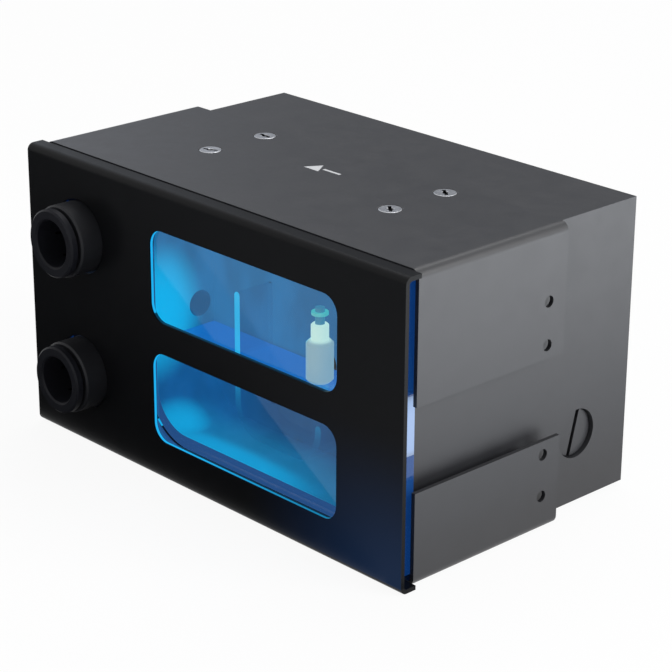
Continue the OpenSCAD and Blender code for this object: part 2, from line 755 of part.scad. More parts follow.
// Push-in cartridge: a turned body with a seat for the collet, grab ring and tube seal.
module connector_body(z) color("#2a2d31") difference() {
    groove_r = connector_r - port_seal_d + collet_stand;
    groove_half = port_seal_d / 2 + connector_fit;
    translate([connector_x, 0, z]) rotate([-90, 0, 0]) rotate_extrude() polygon([
        [collet_bore, -connector_proud],
        [connector_r - edge_chamfer, -connector_proud],
        [connector_r, -connector_proud + edge_chamfer],
        [connector_r, port_seal_y - groove_half],
        [groove_r, port_seal_y - groove_half],
        [groove_r, port_seal_y + groove_half],
        [connector_r, port_seal_y + groove_half],
        [connector_r, connector_y1],
        [tube_r - connector_lip, connector_y1],
        [tube_r - connector_lip, tube_stop_y],
        [collet_bore, tube_stop_y],
        [collet_bore, grab_y0 + grab_t + grab_fit],
        [collet_bore + grab_groove, grab_y0 + grab_t + grab_fit],
        [collet_bore + grab_groove, grab_y0 - grab_fit],
        [collet_bore, grab_y0 - grab_fit]
    ]);
}

// Release collet: a pressing rim outside, and a slit sleeve that slides in the body.
module collet(z) color("#2f3338") difference() {
    translate([connector_x, 0, z]) rotate([-90, 0, 0]) rotate_extrude() polygon([
        [collet_r0 + edge_chamfer, collet_y0],
        [collet_rim_d / 2 - edge_chamfer, collet_y0],
        [collet_rim_d / 2, collet_y0 + edge_chamfer],
        [collet_rim_d / 2, collet_rim_y1],
        [collet_r1, collet_rim_y1],
        [collet_r1, collet_sleeve_y1],
        [collet_r0, collet_sleeve_y1],
        [collet_r0, collet_y0 + edge_chamfer]
    ]);
    for (turn = [0:60:120]) translate([connector_x, collet_sleeve_y1, z]) rotate([0, turn, 0])
        cube([2 * connector_r, 2 * collet_slit_depth, collet_slit_w], center = true);
}

// Thin steel ring with teeth that grip the tube.
module grab_ring(z) color("#c9ccd0") difference() {
    band_y(connector_x, z, tube_r + grab_gap, collet_bore + grab_groove - grab_fit, grab_y0, grab_y0 + grab_t);
    for (turn = [0:30:150]) translate([connector_x, grab_y0 + grab_t / 2, z]) rotate([0, turn, 0])
        cube([2 * collet_bore, grab_t + 2 * through, grab_slit_w], center = true);
}

module tube_seal(z) color("#0d0e10")
    cord_ring_y(connector_x, tube_seal_y, z, collet_bore - tube_seal_r - ring_fit, tube_seal_r);

module port_seal(z) color("#0d0e10")
    cord_ring_y(connector_x, port_seal_y, z, connector_r + collet_stand - port_seal_d / 2,
        port_seal_d / 2 - ring_fit);

module upper_connector_body() connector_body(connector_zs[1]);
module lower_connector_body() connector_body(connector_zs[0]);
module upper_collet() collet(connector_zs[1]);
module lower_collet() collet(connector_zs[0]);
module upper_grab_ring() grab_ring(connector_zs[1]);
module lower_grab_ring() grab_ring(connector_zs[0]);
module upper_tube_seal() tube_seal(connector_zs[1]);
module lower_tube_seal() tube_seal(connector_zs[0]);
module upper_port_seal() port_seal(connector_zs[1]);
module lower_port_seal() port_seal(connector_zs[0]);

// ---------------------------------------------------------------- pump housing

// Spiral pocket around the impeller. Its radius grows with the flow, down to the outlet.
module volute_2d() {
    steps = 60;
    polygon([for (i = [0:steps]) let (turn = 360 * i / steps, r = volute_r + volute_growth * i / steps)
        [pump_x + r * cos(-90 - turn), pump_z + r * sin(-90 - turn)]]);
}

// Places and radii of the face seals between the tank and the pump housing.
seal_wall = 2.4;
seal_places = [
    [connector_x, connector_zs[0], gallery_r + seal_wall],
    [pump_x, pump_z, eye_d / 2 + seal_wall],
    [drain_x, plug_z, gallery_r + seal_wall]
];
face_seal_r = 0.8;

// Section of the pump bay: a rounded room with screw bosses and the drain's rail.
module pump_bay_2d() difference() {
    translate([0, mid_z]) rounded_2d(2 * bay_x, bay_z1 - bay_z0, bay_corner_r);
    for (sx = [-1, 1], z = boss_zs) translate([sx * boss_x, z]) circle(r = boss_r);
}

// Outline of the rear cover, or with no fit that of the ledge it lies in.
module cover_2d(fit) rounded_2d(2 * (body_x - cover_ledge - fit), body_h - 2 * (cover_ledge + fit),
    bay_corner_r - cover_ledge / 2);

module pump_housing() color("#17181b") difference() {
    translate([-body_x, tank_y1, body_z0]) cube([2 * body_x, unit_depth - tank_y1, body_h]);
    // pump bay behind the manifold, with the rear cover's ledge
    difference() {
        slab(volute_y1, cover_y0 + through) pump_bay_2d();
        translate([rail_x0, volute_y1 - through, bay_z0 - through])
            cube([body_x - rail_x0, rail_y1 - volute_y1 + through, rail_z1 - bay_z0 + through]);
    }
    translate([0, 0, mid_z]) slab(cover_y0, unit_depth + through)
        cover_2d(0);
    // volute, suction eye and outlet gallery
    slab(volute_y0, volute_y1 + through) volute_2d();
    rod_y(pump_x, pump_z, eye_d / 2, tank_y1 - through, volute_y0 + through);
    rod_y(connector_x, outlet_z, gallery_r, tank_y1 - through, outlet_y);
    rod_x(outlet_y, outlet_z, gallery_r, connector_x, pump_x);
    translate([connector_x, outlet_y, outlet_z]) sphere(r = gallery_r);
    // drain gallery and the side plug's stepped seat
    rod_y(drain_x, plug_z, gallery_r, tank_y1 - through, plug_y);
    rod_x(plug_y, plug_z, plug_thread_r + plug_play, drain_x, body_x);
    rod_x(plug_y, plug_z, plug_r + plug_play, plug_seat_x, body_x + through);
    // grooves and tapped holes
    for (place = seal_places)
        band_y(place[0], place[1], place[2] - face_seal_r - seal_play, place[2] + face_seal_r + seal_play,
            tank_y1 - through, tank_y1 + 2 * face_seal_r);
    band_y(pump_x, pump_z, pump_seal_r - pump_seal_d / 2 - seal_play, pump_seal_r + pump_seal_d / 2 + seal_play,
        volute_y1 - pump_seal_d, volute_y1 + through);
    at_pump_screws() rod_y(0, 0, pump_screw_d / 2, volute_y1 - thread_depth, volute_y1 + through);
    at_cover_screws() translate([0, 0, -cover_t - thread_depth])
        cylinder(r = cover_screw_d / 2, h = cover_t + thread_depth);
    at_tank_screws() countersink(2 * tank_screw_d, tank_screw_d, tank_screw_length);
    bracket_screw_holes();
}

module joint_seals() color("#0d0e10") for (place = seal_places)
    cord_ring_y(place[0], tank_y1 + face_seal_r, place[1], place[2], face_seal_r - 0.02);

module rear_cover() color("#1b1c1f") difference() {
    translate([0, 0, mid_z]) slab(cover_y0, unit_depth)
        cover_2d(cover_fit);
    at_cover_screws() countersink(2 * cover_screw_d, cover_screw_d, cover_screw_length);
    translate([socket_x, cover_y0 + cover_t / 2, socket_z])
        cube([socket_w + 2 * socket_fit, cover_t + 2 * through, socket_h + 2 * socket_fit], center = true);
}

module rear_cover_screws() color("silver") at_cover_screws() 
    countersunk_screw(2 * cover_screw_d, cover_screw_d, cover_screw_length);

// Shrouded header with four pins and a collar behind the cover.
module power_socket() {
    socket_y0 = unit_depth - socket_length;
    room = 2 * socket_wall;
    rim = 2 * socket_collar;
    color("#0f1012") difference() {
        union() {
            translate([socket_x, socket_y0 + socket_length / 2, socket_z])
                cube([socket_w, socket_length, socket_h], center = true);
            translate([socket_x, cover_y0 - socket_collar / 2, socket_z])
                cube([socket_w + rim, socket_collar, socket_h + rim], center = true);
        }
        translate([socket_x, socket_y0 + socket_floor + socket_length / 2, socket_z])
            cube([socket_w - room, socket_length, socket_h - room], center = true);
    }
    pin_y0 = socket_y0 + socket_floor / 2;
    color("gold") for (pin = [-1.5:1:1.5])
        rod_y(socket_x + pin * pin_pitch, socket_z, pin_r, pin_y0, unit_depth - pin_setback);
}

// ---------------------------------------------------------------- pump

// Backward-curved vane from the hub to the rim, as an arc-shaped strip.
module vane_2d(r0, r1, sweep) {
    steps = 8;
    inner = [for (i = [0:steps]) let (f = i / steps, r = r0 + (r1 - r0) * f)
        [r * cos(sweep * f), r * sin(sweep * f)]];
    outer = [for (i = [steps:-1:0])
        let (f = i / steps, r = r0 + (r1 - r0) * f, lean = sweep * f + vane_t / r * 180 / PI)
            [r * cos(lean), r * sin(lean)]];
    polygon(concat(inner, outer));
}

// Semi-open impeller: shroud disc, hub and vanes. The bush runs through its middle.
module impeller() color("#3a6ea8") translate([pump_x, 0, pump_z]) difference() {
    union() {
        rod_y(0, 0, impeller_r, impeller_y1 - shroud_t, impeller_y1);
        rod_y(0, 0, hub_r, impeller_y0, impeller_y1);
        rod_y(0, 0, rotor_d / 2, impeller_y1 - shroud_t, rotor_y0);
        slab(impeller_y0, impeller_y1 - shroud_t / 2) for (i = [0:vane_count - 1])
            rotate(i * 360 / vane_count) vane_2d(hub_r - vane_t / 2, impeller_r - vane_t / 12, vane_sweep);
    }
    rod_y(0, 0, bush_r, impeller_y0 - through, rotor_y0 + through);
}

module rotor_magnet() color("#4a4d52") band_y(pump_x, pump_z, bush_r, rotor_d / 2, rotor_y0, rotor_y1);

module rotor_bush() color("#7a5c3a")
    band_y(pump_x, pump_z, shaft_r + shaft_play, bush_r, impeller_y0, rotor_y1);

module pump_shaft() color("#f0ece2")
    rod_y(pump_x, pump_z, shaft_r, impeller_y0 - shaft_nose, can_y1 - can_floor_t);

// Thin-walled can that keeps the coolant and the rotor apart from the stator.
module separating_can() color("#9aa0a6") translate([pump_x, 0, pump_z]) difference() {
    union() {
        rod_y(0, 0, pump_flange_r, can_y0, can_y0 + can_flange_t);
        rod_y(0, 0, can_r1, can_y0, can_y1);
    }
    difference() {
        rod_y(0, 0, can_r0, can_y0 - through, can_y1 - can_floor_t);
        rod_y(0, 0, bush_r, can_y1 - can_floor_t - shaft_seat, can_y1);
    }
    rod_y(0, 0, shaft_r, can_y1 - can_floor_t - shaft_seat - through, can_y1 - can_floor_t);
    translate([-pump_x, 0, -pump_z]) at_pump_screws()
        rod_y(0, 0, pump_screw_d / 2, can_y0 - through, can_y0 + can_flange_t + through);
}

module pump_seal() color("#0d0e10") 
    cord_ring_y(pump_x, volute_y1 - pump_seal_d / 2, pump_z, pump_seal_r, pump_seal_d / 2 - ring_fit);

// Laminated ring with poles that face the can.
module stator_core() color("#8b8f94") translate([pump_x, 0, pump_z])
    slab(stator_y0, stator_y0 + stator_length) {
    difference() {
        circle(r = stator_r1);
        circle(r = stator_r1 - yoke_t);
    }
    difference() {
        for (i = [0:stator_poles - 1]) rotate(i * 360 / stator_poles)
            translate([can_r0, -pole_t / 2]) square([stator_r1 - can_r0 - yoke_t / 2, pole_t]);
        circle(r = stator_r0);
    }
}

module stator_coils() color("#b06a2c") translate([pump_x, 0, pump_z]) for (i = [0:stator_poles - 1])
    rotate([0, i * 360 / stator_poles, 0]) difference() {
        coil_x0 = stator_r0 + coil_t - stator_gap;
        coil_x1 = stator_r1 - yoke_t - can_wall;
        translate([coil_x0, stator_y0 - coil_over, -pole_t / 2 - coil_t])
            cube([coil_x1 - coil_x0, stator_length + 2 * coil_over, pole_t + 2 * coil_t]);
        translate([coil_x0 - through, stator_y0 - coil_fit, -pole_t / 2 - coil_fit])
            cube([coil_x1 - coil_x0 + 2 * through, stator_length + 2 * coil_fit, pole_t + 2 * coil_fit]);
    }

module motor_shell() color("#202226") translate([pump_x, 0, pump_z]) difference() {
    union() {
        rod_y(0, 0, motor_d / 2, motor_y0, motor_y1);
        rod_y(0, 0, pump_flange_r, motor_y0, motor_y0 + motor_flange_t);
    }
    rod_y(0, 0, stator_r1, motor_y0 - through, motor_y1 - motor_wall);
    translate([-pump_x, 0, -pump_z]) at_pump_screws()
        rod_y(0, 0, pump_screw_d / 2, motor_y0 - through, motor_y0 + motor_flange_t + through);
    // opening for the motor's leads
    rod_y(-stator_r1 / 2, 0, lead_hole_r, motor_y1 - motor_wall - through, motor_y1 + through);
}

// Round circuit board behind the stator, with its larger components.
module control_board() translate([pump_x, 0, pump_z]) {
    board_r = stator_r1 - stator_gap;
    part_y = board_y0 + board_t - eps;
    part_h = board_t * 0.8;
    color("#14502c") rod_y(0, 0, board_r, board_y0, board_y0 + board_t);
    color("#26282c") {
        translate([-board_r * 0.4, part_y, -board_r * 0.25]) cube([board_r * 0.33, part_h, board_r * 0.33]);
        translate([board_r * 0.15, part_y, board_r * 0.15]) cube([board_r * 0.25, part_h, board_r * 0.2]);
        rod_y(board_r * 0.4, -board_r * 0.35, board_r * 0.1, part_y, part_y + board_t);
    }
}

module pump_screws() color("silver") at_pump_screws() {
    head_y = motor_y0 + motor_flange_t;
    rod_y(0, 0, pump_screw_d / 2, volute_y1 - pump_screw_grip, head_y + eps);
    difference() {
        rod_y(0, 0, pump_screw_d * 0.9, head_y, head_y + pump_screw_head_h);
        rod_y(0, 0, pump_screw_d * 0.3, head_y + pump_screw_head_h * 0.4, head_y + pump_screw_head_h + through);
    }
}

// ---------------------------------------------------------------- side plug

module side_plug() color("#1d1e21") translate([0, plug_y, plug_z]) difference() {
    plug_x0 = plug_x1 - plug_length;
    translate([plug_x1, 0, 0]) rotate([0, -90, 0]) rotate_extrude() polygon([
        [0, 0],
        [plug_r - plug_chamfer, 0],
        [plug_r, plug_chamfer],
        [plug_r, plug_flange_t],
        [plug_thread_r, plug_flange_t],
        [plug_thread_r, plug_length - plug_tip_chamfer],
        [plug_thread_r - plug_tip_chamfer, plug_length],
        [0, plug_length]
    ]);
    rotate([-plug_slot_turn, 0, 0]) translate([plug_x1 - plug_slot_depth / 2, 0, 0])
        cube([plug_slot_depth + 2 * eps, plug_slot_w, 2 * plug_r + through], center = true);
    rod_x(0, 0, plug_hollow_r, plug_x0 - through, plug_x0 + plug_hollow_depth);
}

module side_plug_seal() color("#0d0e10")
    translate([plug_x1 - plug_flange_t - plug_seal_d / 2, plug_y, plug_z]) rotate([0, 90, 0]) rotate_extrude()
        translate([plug_thread_r + plug_seal_play + plug_seal_d / 2, 0]) circle(r = plug_seal_d / 2, $fn = 20);

// ---------------------------------------------------------------- the unit

// Centres a piece of the unit on y.
module centred() translate([0, -mid_y, 0]) children();

centred() front_panel();
centred() top_bracket();
centred() bottom_bracket();
centred() top_bracket_screws();
centred() bottom_bracket_screws();
centred() window_plate();
centred() window_seal();
centred() tank_body();
centred() tank_back();
centred() tank_screws();
centred() flow_baffle();
centred() left_light_guide();
centred() right_light_guide();
centred() light_boards();
centred() level_sensor_stem();
centred() level_float();
centred() float_clips();
centred() upper_connector_body();
centred() upper_collet();
centred() upper_grab_ring();
centred() upper_tube_seal();
centred() upper_port_seal();
centred() lower_connector_body();
centred() lower_collet();
centred() lower_grab_ring();
centred() lower_tube_seal();
centred() lower_port_seal();
centred() pump_housing();
centred() joint_seals();
centred() impeller();
centred() rotor_magnet();
centred() rotor_bush();
centred() pump_shaft();
centred() separating_can();
centred() pump_seal();
centred() stator_core();
centred() stator_coils();
centred() motor_shell();
centred() control_board();
centred() pump_screws();
centred() rear_cover();
centred() rear_cover_screws();
centred() power_socket();
centred() side_plug();
centred() side_plug_seal();
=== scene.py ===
"""Looks of a pump reservoir for a drive bay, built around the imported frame.

Sizes are in millimetres. Depths are counted from the front panel's outer face.
"""

import logging
import math
from dataclasses import dataclass, field
from enum import Enum
from typing import Any, ClassVar, Iterable, Sequence, Union

import bmesh
import bpy
from mathutils import Matrix, Vector


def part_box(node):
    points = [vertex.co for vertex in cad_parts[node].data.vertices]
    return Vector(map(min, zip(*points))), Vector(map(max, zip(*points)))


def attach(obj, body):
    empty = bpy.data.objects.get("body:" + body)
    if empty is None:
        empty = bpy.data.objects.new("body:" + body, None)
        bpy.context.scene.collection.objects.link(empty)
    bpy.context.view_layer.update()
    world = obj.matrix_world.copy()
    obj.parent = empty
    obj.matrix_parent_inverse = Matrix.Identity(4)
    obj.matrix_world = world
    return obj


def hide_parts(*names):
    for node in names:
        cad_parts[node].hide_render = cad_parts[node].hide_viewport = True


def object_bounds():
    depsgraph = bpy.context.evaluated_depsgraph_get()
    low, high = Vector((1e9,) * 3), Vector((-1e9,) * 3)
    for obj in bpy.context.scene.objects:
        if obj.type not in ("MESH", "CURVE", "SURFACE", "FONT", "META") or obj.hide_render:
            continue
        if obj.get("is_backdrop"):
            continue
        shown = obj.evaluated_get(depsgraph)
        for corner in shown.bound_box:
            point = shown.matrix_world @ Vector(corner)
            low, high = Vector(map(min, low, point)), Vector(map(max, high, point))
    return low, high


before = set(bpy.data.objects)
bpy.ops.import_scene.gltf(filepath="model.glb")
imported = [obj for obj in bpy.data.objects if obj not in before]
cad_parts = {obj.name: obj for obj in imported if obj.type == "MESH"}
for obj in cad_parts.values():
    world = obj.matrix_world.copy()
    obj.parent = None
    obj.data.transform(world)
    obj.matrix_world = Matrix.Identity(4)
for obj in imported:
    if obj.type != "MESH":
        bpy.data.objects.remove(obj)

MM = 0.001
SHARP_ANGLE = math.radians(35)
WHITE = (1.0, 1.0, 1.0)
CAD_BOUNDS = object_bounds()
PANEL_FACE_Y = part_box("front_panel")[0].y / MM
UNIT = "unit"

Colour = tuple[float, float, float]
Point = tuple[float, float, float]
Value = Union["Wire", float, tuple, bpy.types.NodeSocket]

log = logging.getLogger("reservoir")


class Facing(Enum):
    """Way in which the head of a screw looks, as turns about X, Y and Z."""

    UP = (0.0, 0.0, 0.0)
    DOWN = (math.pi, 0.0, 0.0)


@dataclass(frozen=True)
class Block:
    """Box of one CAD node, in millimetres, with depths from the panel's face."""

    low: Vector
    high: Vector

    @classmethod
    def of(cls, node: str) -> "Block":
        """Returns the box of the CAD node of that name."""
        low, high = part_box(node)
        shift = Vector((0.0, PANEL_FACE_Y, 0.0))
        return cls(low / MM - shift, high / MM - shift)

    @property
    def middle(self) -> Vector:
        """Centre of the box."""
        return (self.low + self.high) / 2


def to_world(point: Iterable[float]) -> Vector:
    """Turns a point in the unit's own millimetres into metres of the row frame."""
    x, y, z = point
    return Vector((x, y + PANEL_FACE_Y, z)) * MM


# ---------------------------------------------------------------- node graphs


class Wire:
    """One output socket of a shader graph, with arithmetic that adds Math nodes."""

    def __init__(self, graph: "Graph", socket: bpy.types.NodeSocket) -> None:
        """Wraps a socket of a graph.

        Args:
            graph: Graph that the socket belongs to.
            socket: Output socket that carries the value.
        """
        self.graph = graph
        self.socket = socket

    def _math(self, operation: str, other: Value = 0.0, swap: bool = False) -> "Wire":
        """Adds one Math node and returns its value."""
        pair = (other, self) if swap else (self, other)
        made = self.graph.node(
            "ShaderNodeMath", {"operation": operation}, {0: pair[0], 1: pair[1]}
        )
        return Wire(self.graph, made.outputs[0])

    def __add__(self, other: Value) -> "Wire":
        """Sum."""
        return self._math("ADD", other)

    def __radd__(self, other: Value) -> "Wire":
        """Reflected sum."""
        return self._math("ADD", other, swap=True)

    def __sub__(self, other: Value) -> "Wire":
        """Difference."""
        return self._math("SUBTRACT", other)

    def __rsub__(self, other: Value) -> "Wire":
        """Reflected difference."""
        return self._math("SUBTRACT", other, swap=True)

    def __mul__(self, other: Value) -> "Wire":
        """Product."""
        return self._math("MULTIPLY", other)

    def __rmul__(self, other: Value) -> "Wire":
        """Reflected product."""
        return self._math("MULTIPLY", other, swap=True)

    def __truediv__(self, other: Value) -> "Wire":
        """Quotient."""
        return self._math("DIVIDE", other)

    def most(self, other: Value) -> "Wire":
        """Larger of two values."""
        return self._math("MAXIMUM", other)

    def size(self) -> "Wire":
        """Value without its sign."""
        return self._math("ABSOLUTE")

    def wave(self, pitch: float) -> "Wire":
        """Wave from 0 to 1 that repeats every pitch millimetres."""
        return (self * (math.tau / pitch))._math("SINE") * 0.5 + 0.5

    def ramp(self, start: float, end: float, low: float = 0.0, high: float = 1.0) -> "Wire":
        """Smooth step.

        Args:
            start: Value at which the step starts.
            end: Value at which the step ends.
            low: Result up to the start.
            high: Result from the end on.

        Returns:
            Wire of the stepped value.
        """
        made = self.graph.node(
            "ShaderNodeMapRange",
            {"interpolation_type": "SMOOTHSTEP"},
            {0: self, 1: start, 2: end, 3: low, 4: high},
        )
        return Wire(self.graph, made.outputs[0])

    def over(self, edge: float, soft: float = 0.1) -> "Wire":
        """Mask that is 1 above an edge."""
        return self.ramp(edge - soft, edge + soft)

    def under(self, edge: float, soft: float = 0.1) -> "Wire":
        """Mask that is 1 below an edge."""
        return self.ramp(edge - soft, edge + soft, 1.0, 0.0)

    def within(self, low: float, high: float, soft: float = 0.1) -> "Wire":
        """Mask that is 1 between two edges."""
        return self.over(low, soft) * self.under(high, soft)


class Nodes:
    """Adds nodes and links to one node tree."""

    def __init__(self, tree: bpy.types.NodeTree) -> None:
        """Takes the tree to add to."""
        self.tree = tree

    def node(
        self,
        kind: str,
        settings: dict[str, Any] | None = None,
        inputs: dict[int | str, Any] | None = None,
    ) -> bpy.types.Node:
        """Adds one node.

        Args:
            kind: Type of the node.
            settings: Properties of the node, set first.
            inputs: Values, links or lists of links of its sockets, by name or number.

        Returns:
            The new node.
        """
        made = self.tree.nodes.new(kind)
        for name, value in (settings or {}).items():
            setattr(made, name, value)
        for key, value in (inputs or {}).items():
            for one in value if isinstance(value, list) else [value]:
                self.feed(made.inputs[key], one)
        return made

    def feed(self, socket: bpy.types.NodeSocket, value: Any) -> None:
        """Links a wire or a socket into a socket, or sets the socket's own value."""
        if isinstance(value, Wire):
            value = value.socket
        if isinstance(value, bpy.types.NodeSocket):
            self.tree.links.new(value, socket)
        elif socket.type == "RGBA":
            socket.default_value = (*value, 1.0)
        else:
            socket.default_value = value

    def seen(self) -> bpy.types.NodeSocket:
        """Value that is 1 for what the camera sees, in gloss and through clear solids too."""
        path = self.node("ShaderNodeLightPath")
        seen = path.outputs["Is Camera Ray"]
        for name in ("Is Glossy Ray", "Is Transmission Ray"):
            pair = {0: seen, 1: path.outputs[name]}
            seen = self.node("ShaderNodeMath", {"operation": "MAXIMUM"}, pair).outputs[0]
        return seen


class Graph(Nodes):
    """Builds the node graph of one material on object coordinates in millimetres."""

    def __init__(self, name: str) -> None:
        """Starts an empty material with an output node.

        Args:
            name: Name of the material.
        """
        self.material = bpy.data.materials.new(name)
        self.material.use_nodes = True
        super().__init__(self.material.node_tree)
        self.tree.nodes.clear()
        self.output = self.node("ShaderNodeOutputMaterial")
        spot = {
            0: self.node("ShaderNodeTexCoord").outputs["Object"],
            "Location": (0.0, -PANEL_FACE_Y, 0.0),
            "Scale": (1 / MM, 1 / MM, 1 / MM),
        }
        self.place = self.node("ShaderNodeMapping", {}, spot).outputs[0]
        parts = self.node("ShaderNodeSeparateXYZ", {}, {0: self.place})
        self.x, self.y, self.z = (Wire(self, socket) for socket in parts.outputs)

    def blend(self, mask: Value, first: Value, second: Value) -> Wire:
        """Colour that goes from the first to the second as the mask goes to 1."""
        made = self.node(
            "ShaderNodeMix", {"data_type": "RGBA"}, {0: mask, 6: first, 7: second}
        )
        return Wire(self, made.outputs[2])

    def scaled(self, colour: Value, amount: Value) -> Wire:
        """Colour made darker or brighter by an amount."""
        made = self.node(
            "ShaderNodeVectorMath", {"operation": "SCALE"}, {0: colour, "Scale": amount}
        )
        return Wire(self, made.outputs[0])

    def noise(self, size: float, detail: float = 2.0, stretch: Point = (1, 1, 1)) -> Wire:
        """Noise from 0 to 1.

        Args:
            size: Size of its largest patches.
            detail: Number of finer layers.
            stretch: Factors by which the patches are drawn out along X, Y and Z.

        Returns:
            Wire of the noise value.
        """
        scale = tuple(1 / (size * factor) for factor in stretch)
        spread = self.node("ShaderNodeMapping", {}, {0: self.place, "Scale": scale})
        made = self.node(
            "ShaderNodeTexNoise", {}, {0: spread.outputs[0], "Scale": 1.0, "Detail": detail}
        )
        return Wire(self, made.outputs[0])

    def cells(self, size: float) -> Wire:
        """Distance to the nearest of scattered points, for specks and pits."""
        scale = (1 / size,) * 3
        spread = self.node("ShaderNodeMapping", {}, {0: self.place, "Scale": scale})
        made = self.node("ShaderNodeTexVoronoi", {}, {0: spread.outputs[0], "Scale": 1.0})
        return Wire(self, made.outputs[0])

    def bump(self, height: Value, depth: float) -> bpy.types.NodeSocket:
        """Normal of a surface that a height from 0 to 1 lifts by a depth."""
        inputs = {"Height": height, "Distance": depth * MM, "Strength": 1.0}
        return self.node("ShaderNodeBump", {}, inputs).outputs[0]

    def end(self, shader: bpy.types.Node) -> bpy.types.Material:
        """Feeds a shader to the output and returns the material."""
        self.feed(self.output.inputs[0], shader.outputs[0])
        return self.material

    def overlay(self, mask: Value, shader: bpy.types.Node) -> bpy.types.Material:
        """Lays another shader over the finished one where a mask is 1."""
        body = self.output.inputs[0].links[0].from_socket
        both = {0: mask, 1: body, 2: shader.outputs[0]}
        return self.end(self.node("ShaderNodeMixShader", {}, both))

    def finish(self, inputs: dict[str, Value]) -> bpy.types.Material:
        """Ends the graph in one Principled shader.

        Args:
            inputs: Values or links of the shader's sockets, by name.

        Returns:
            The finished material.
        """
        return self.end(self.node("ShaderNodeBsdfPrincipled", {}, inputs))


# ---------------------------------------------------------------- finishes


@dataclass(frozen=True)
class Finish:
    """Surface with mottled colour and gloss and a fine grain."""

    name: str
    colour: Colour
    roughness: float = 0.5
    metallic: float = 0.0
    specular: float = 0.5
    contrast: float = 0.12
    mottle: float = 9.0
    grain: float = 0.5
    grain_depth: float = 0.01
    stretch: Point = (1, 1, 1)
    coat: float = 0.0
    coat_roughness: float = 0.08

    made: ClassVar[dict[str, bpy.types.Material]] = {}

    def material(self) -> bpy.types.Material:
        """Returns the material, built on the first call."""
        if self.name not in Finish.made:
            Finish.made[self.name] = self.paint(Graph(self.name))
        return Finish.made[self.name]

    def tint(self, graph: Graph) -> Value:
        """Colour over the surface, with slow patches around the main colour."""
        light = tuple(channel * (1 + self.contrast) for channel in self.colour)
        dark = tuple(channel * (1 - self.contrast) for channel in self.colour)
        return graph.blend(graph.noise(self.mottle, 3, self.stretch), dark, light)

    def gloss(self, graph: Graph) -> Value:
        """Roughness over the surface."""
        patches = graph.noise(self.mottle * 0.6, 4, self.stretch)
        return patches.ramp(0.25, 0.75, self.roughness * 0.92, self.roughness * 1.08)

    def relief(self, graph: Graph) -> Value:
        """Height of the grain."""
        return graph.noise(self.grain, 2, self.stretch)

    def glow(self, graph: Graph) -> dict[str, Value]:
        """Emission sockets; none on a plain surface."""
        return {}

    @staticmethod
    def lit_by(colour: Value) -> dict[str, Value]:
        """Emission sockets for a colour of glow."""
        return {"Emission Color": colour, "Emission Strength": 1.0}

    def paint(self, graph: Graph) -> bpy.types.Material:
        """Builds the shader on an empty graph."""
        inputs: dict[str, Value] = {
            "Base Color": self.tint(graph),
            "Roughness": self.gloss(graph),
            "Metallic": self.metallic,
            "Specular IOR Level": self.specular,
            "Normal": graph.bump(self.relief(graph), self.grain_depth),
        }
        if self.coat:
            inputs["Coat Weight"] = self.coat
            inputs["Coat Roughness"] = self.coat_roughness
        inputs.update(self.glow(graph))
        return graph.finish(inputs)


@dataclass(frozen=True)
class Striped(Finish):
    """Surface of stacked sheets or wound wire: stripes of one pitch along an axis."""

    pitch: float = 0.5
    axis: str = "y"
    groove: Colour = (0.02, 0.02, 0.02)

    def stripes(self, graph: Graph) -> Wire:
        """Mask that is 1 on the crests of the stripes."""
        return getattr(graph, self.axis).wave(self.pitch)

    def tint(self, graph: Graph) -> Value:
        """Main colour on the crests, the groove's colour between them."""
        crest = self.stripes(graph).ramp(0.05, 0.45)
        return graph.blend(crest, self.groove, super().tint(graph))

    def relief(self, graph: Graph) -> Value:
        """Height of the stripes with a little grain."""
        return self.stripes(graph) * 0.9 + super().relief(graph) * 0.1


@dataclass(frozen=True)
class CoatedSheet(Finish):
    """Satin coat on folded sheet, with a fine orange-peel texture and sparse dust."""

    def relief(self, graph: Graph) -> Value:
        """Orange peel of two sizes."""
        return graph.noise(self.grain, 2) * 0.6 + graph.noise(self.grain * 4, 2) * 0.4

    def tint(self, graph: Graph) -> Value:
        """Coat with faint patches and specks."""
        specks = graph.cells(2.2).under(0.06, 0.03)
        light = tuple(channel * 1.5 for channel in self.colour)
        return graph.blend(specks * 0.4, super().tint(graph), light)


@dataclass(frozen=True)
class MarkedSheet(CoatedSheet):
    """Coated sheet with a plain printed arrowhead and bar that show the upper side."""

    mark_at: tuple[float, float] = (0.0, 0.0)
    mark_w: float = 12.0
    mark_d: float = 4.6
    ink: Colour = (0.62, 0.63, 0.65)
    top_z: float = 0.0
    head_off: float = 0.28
    head_slope: float = 0.62
    bar_off: float = 0.2
    bar_half_w: float = 0.27
    bar_half_d: float = 0.45
    soft: float = 0.05

    def mark(self, graph: Graph) -> Wire:
        """Mask of the printed mark on the upper face."""
        across = graph.x - self.mark_at[0]
        deep = graph.y - self.mark_at[1]
        half_d = self.mark_d / 2
        slope = (half_d - deep) / self.mark_d
        left = across + self.mark_w * self.head_off
        reach = slope * (self.mark_d * self.head_slope) - left.size()
        head = reach.over(0.0, self.soft) * deep.within(-half_d, half_d, self.soft)
        bar = (across - self.mark_w * self.bar_off).size()
        bar = bar.under(self.mark_w * self.bar_half_w, self.soft)
        bar = bar * deep.size().under(self.bar_half_d, self.soft)
        return head.most(bar) * graph.z.over(self.top_z - 0.3, self.soft)

    def tint(self, graph: Graph) -> Value:
        """Coat with the printed mark."""
        worn = graph.noise(0.35, 2).ramp(0.2, 0.45, 0.75, 1.0)
        return graph.blend(self.mark(graph) * worn, super().tint(graph), self.ink)


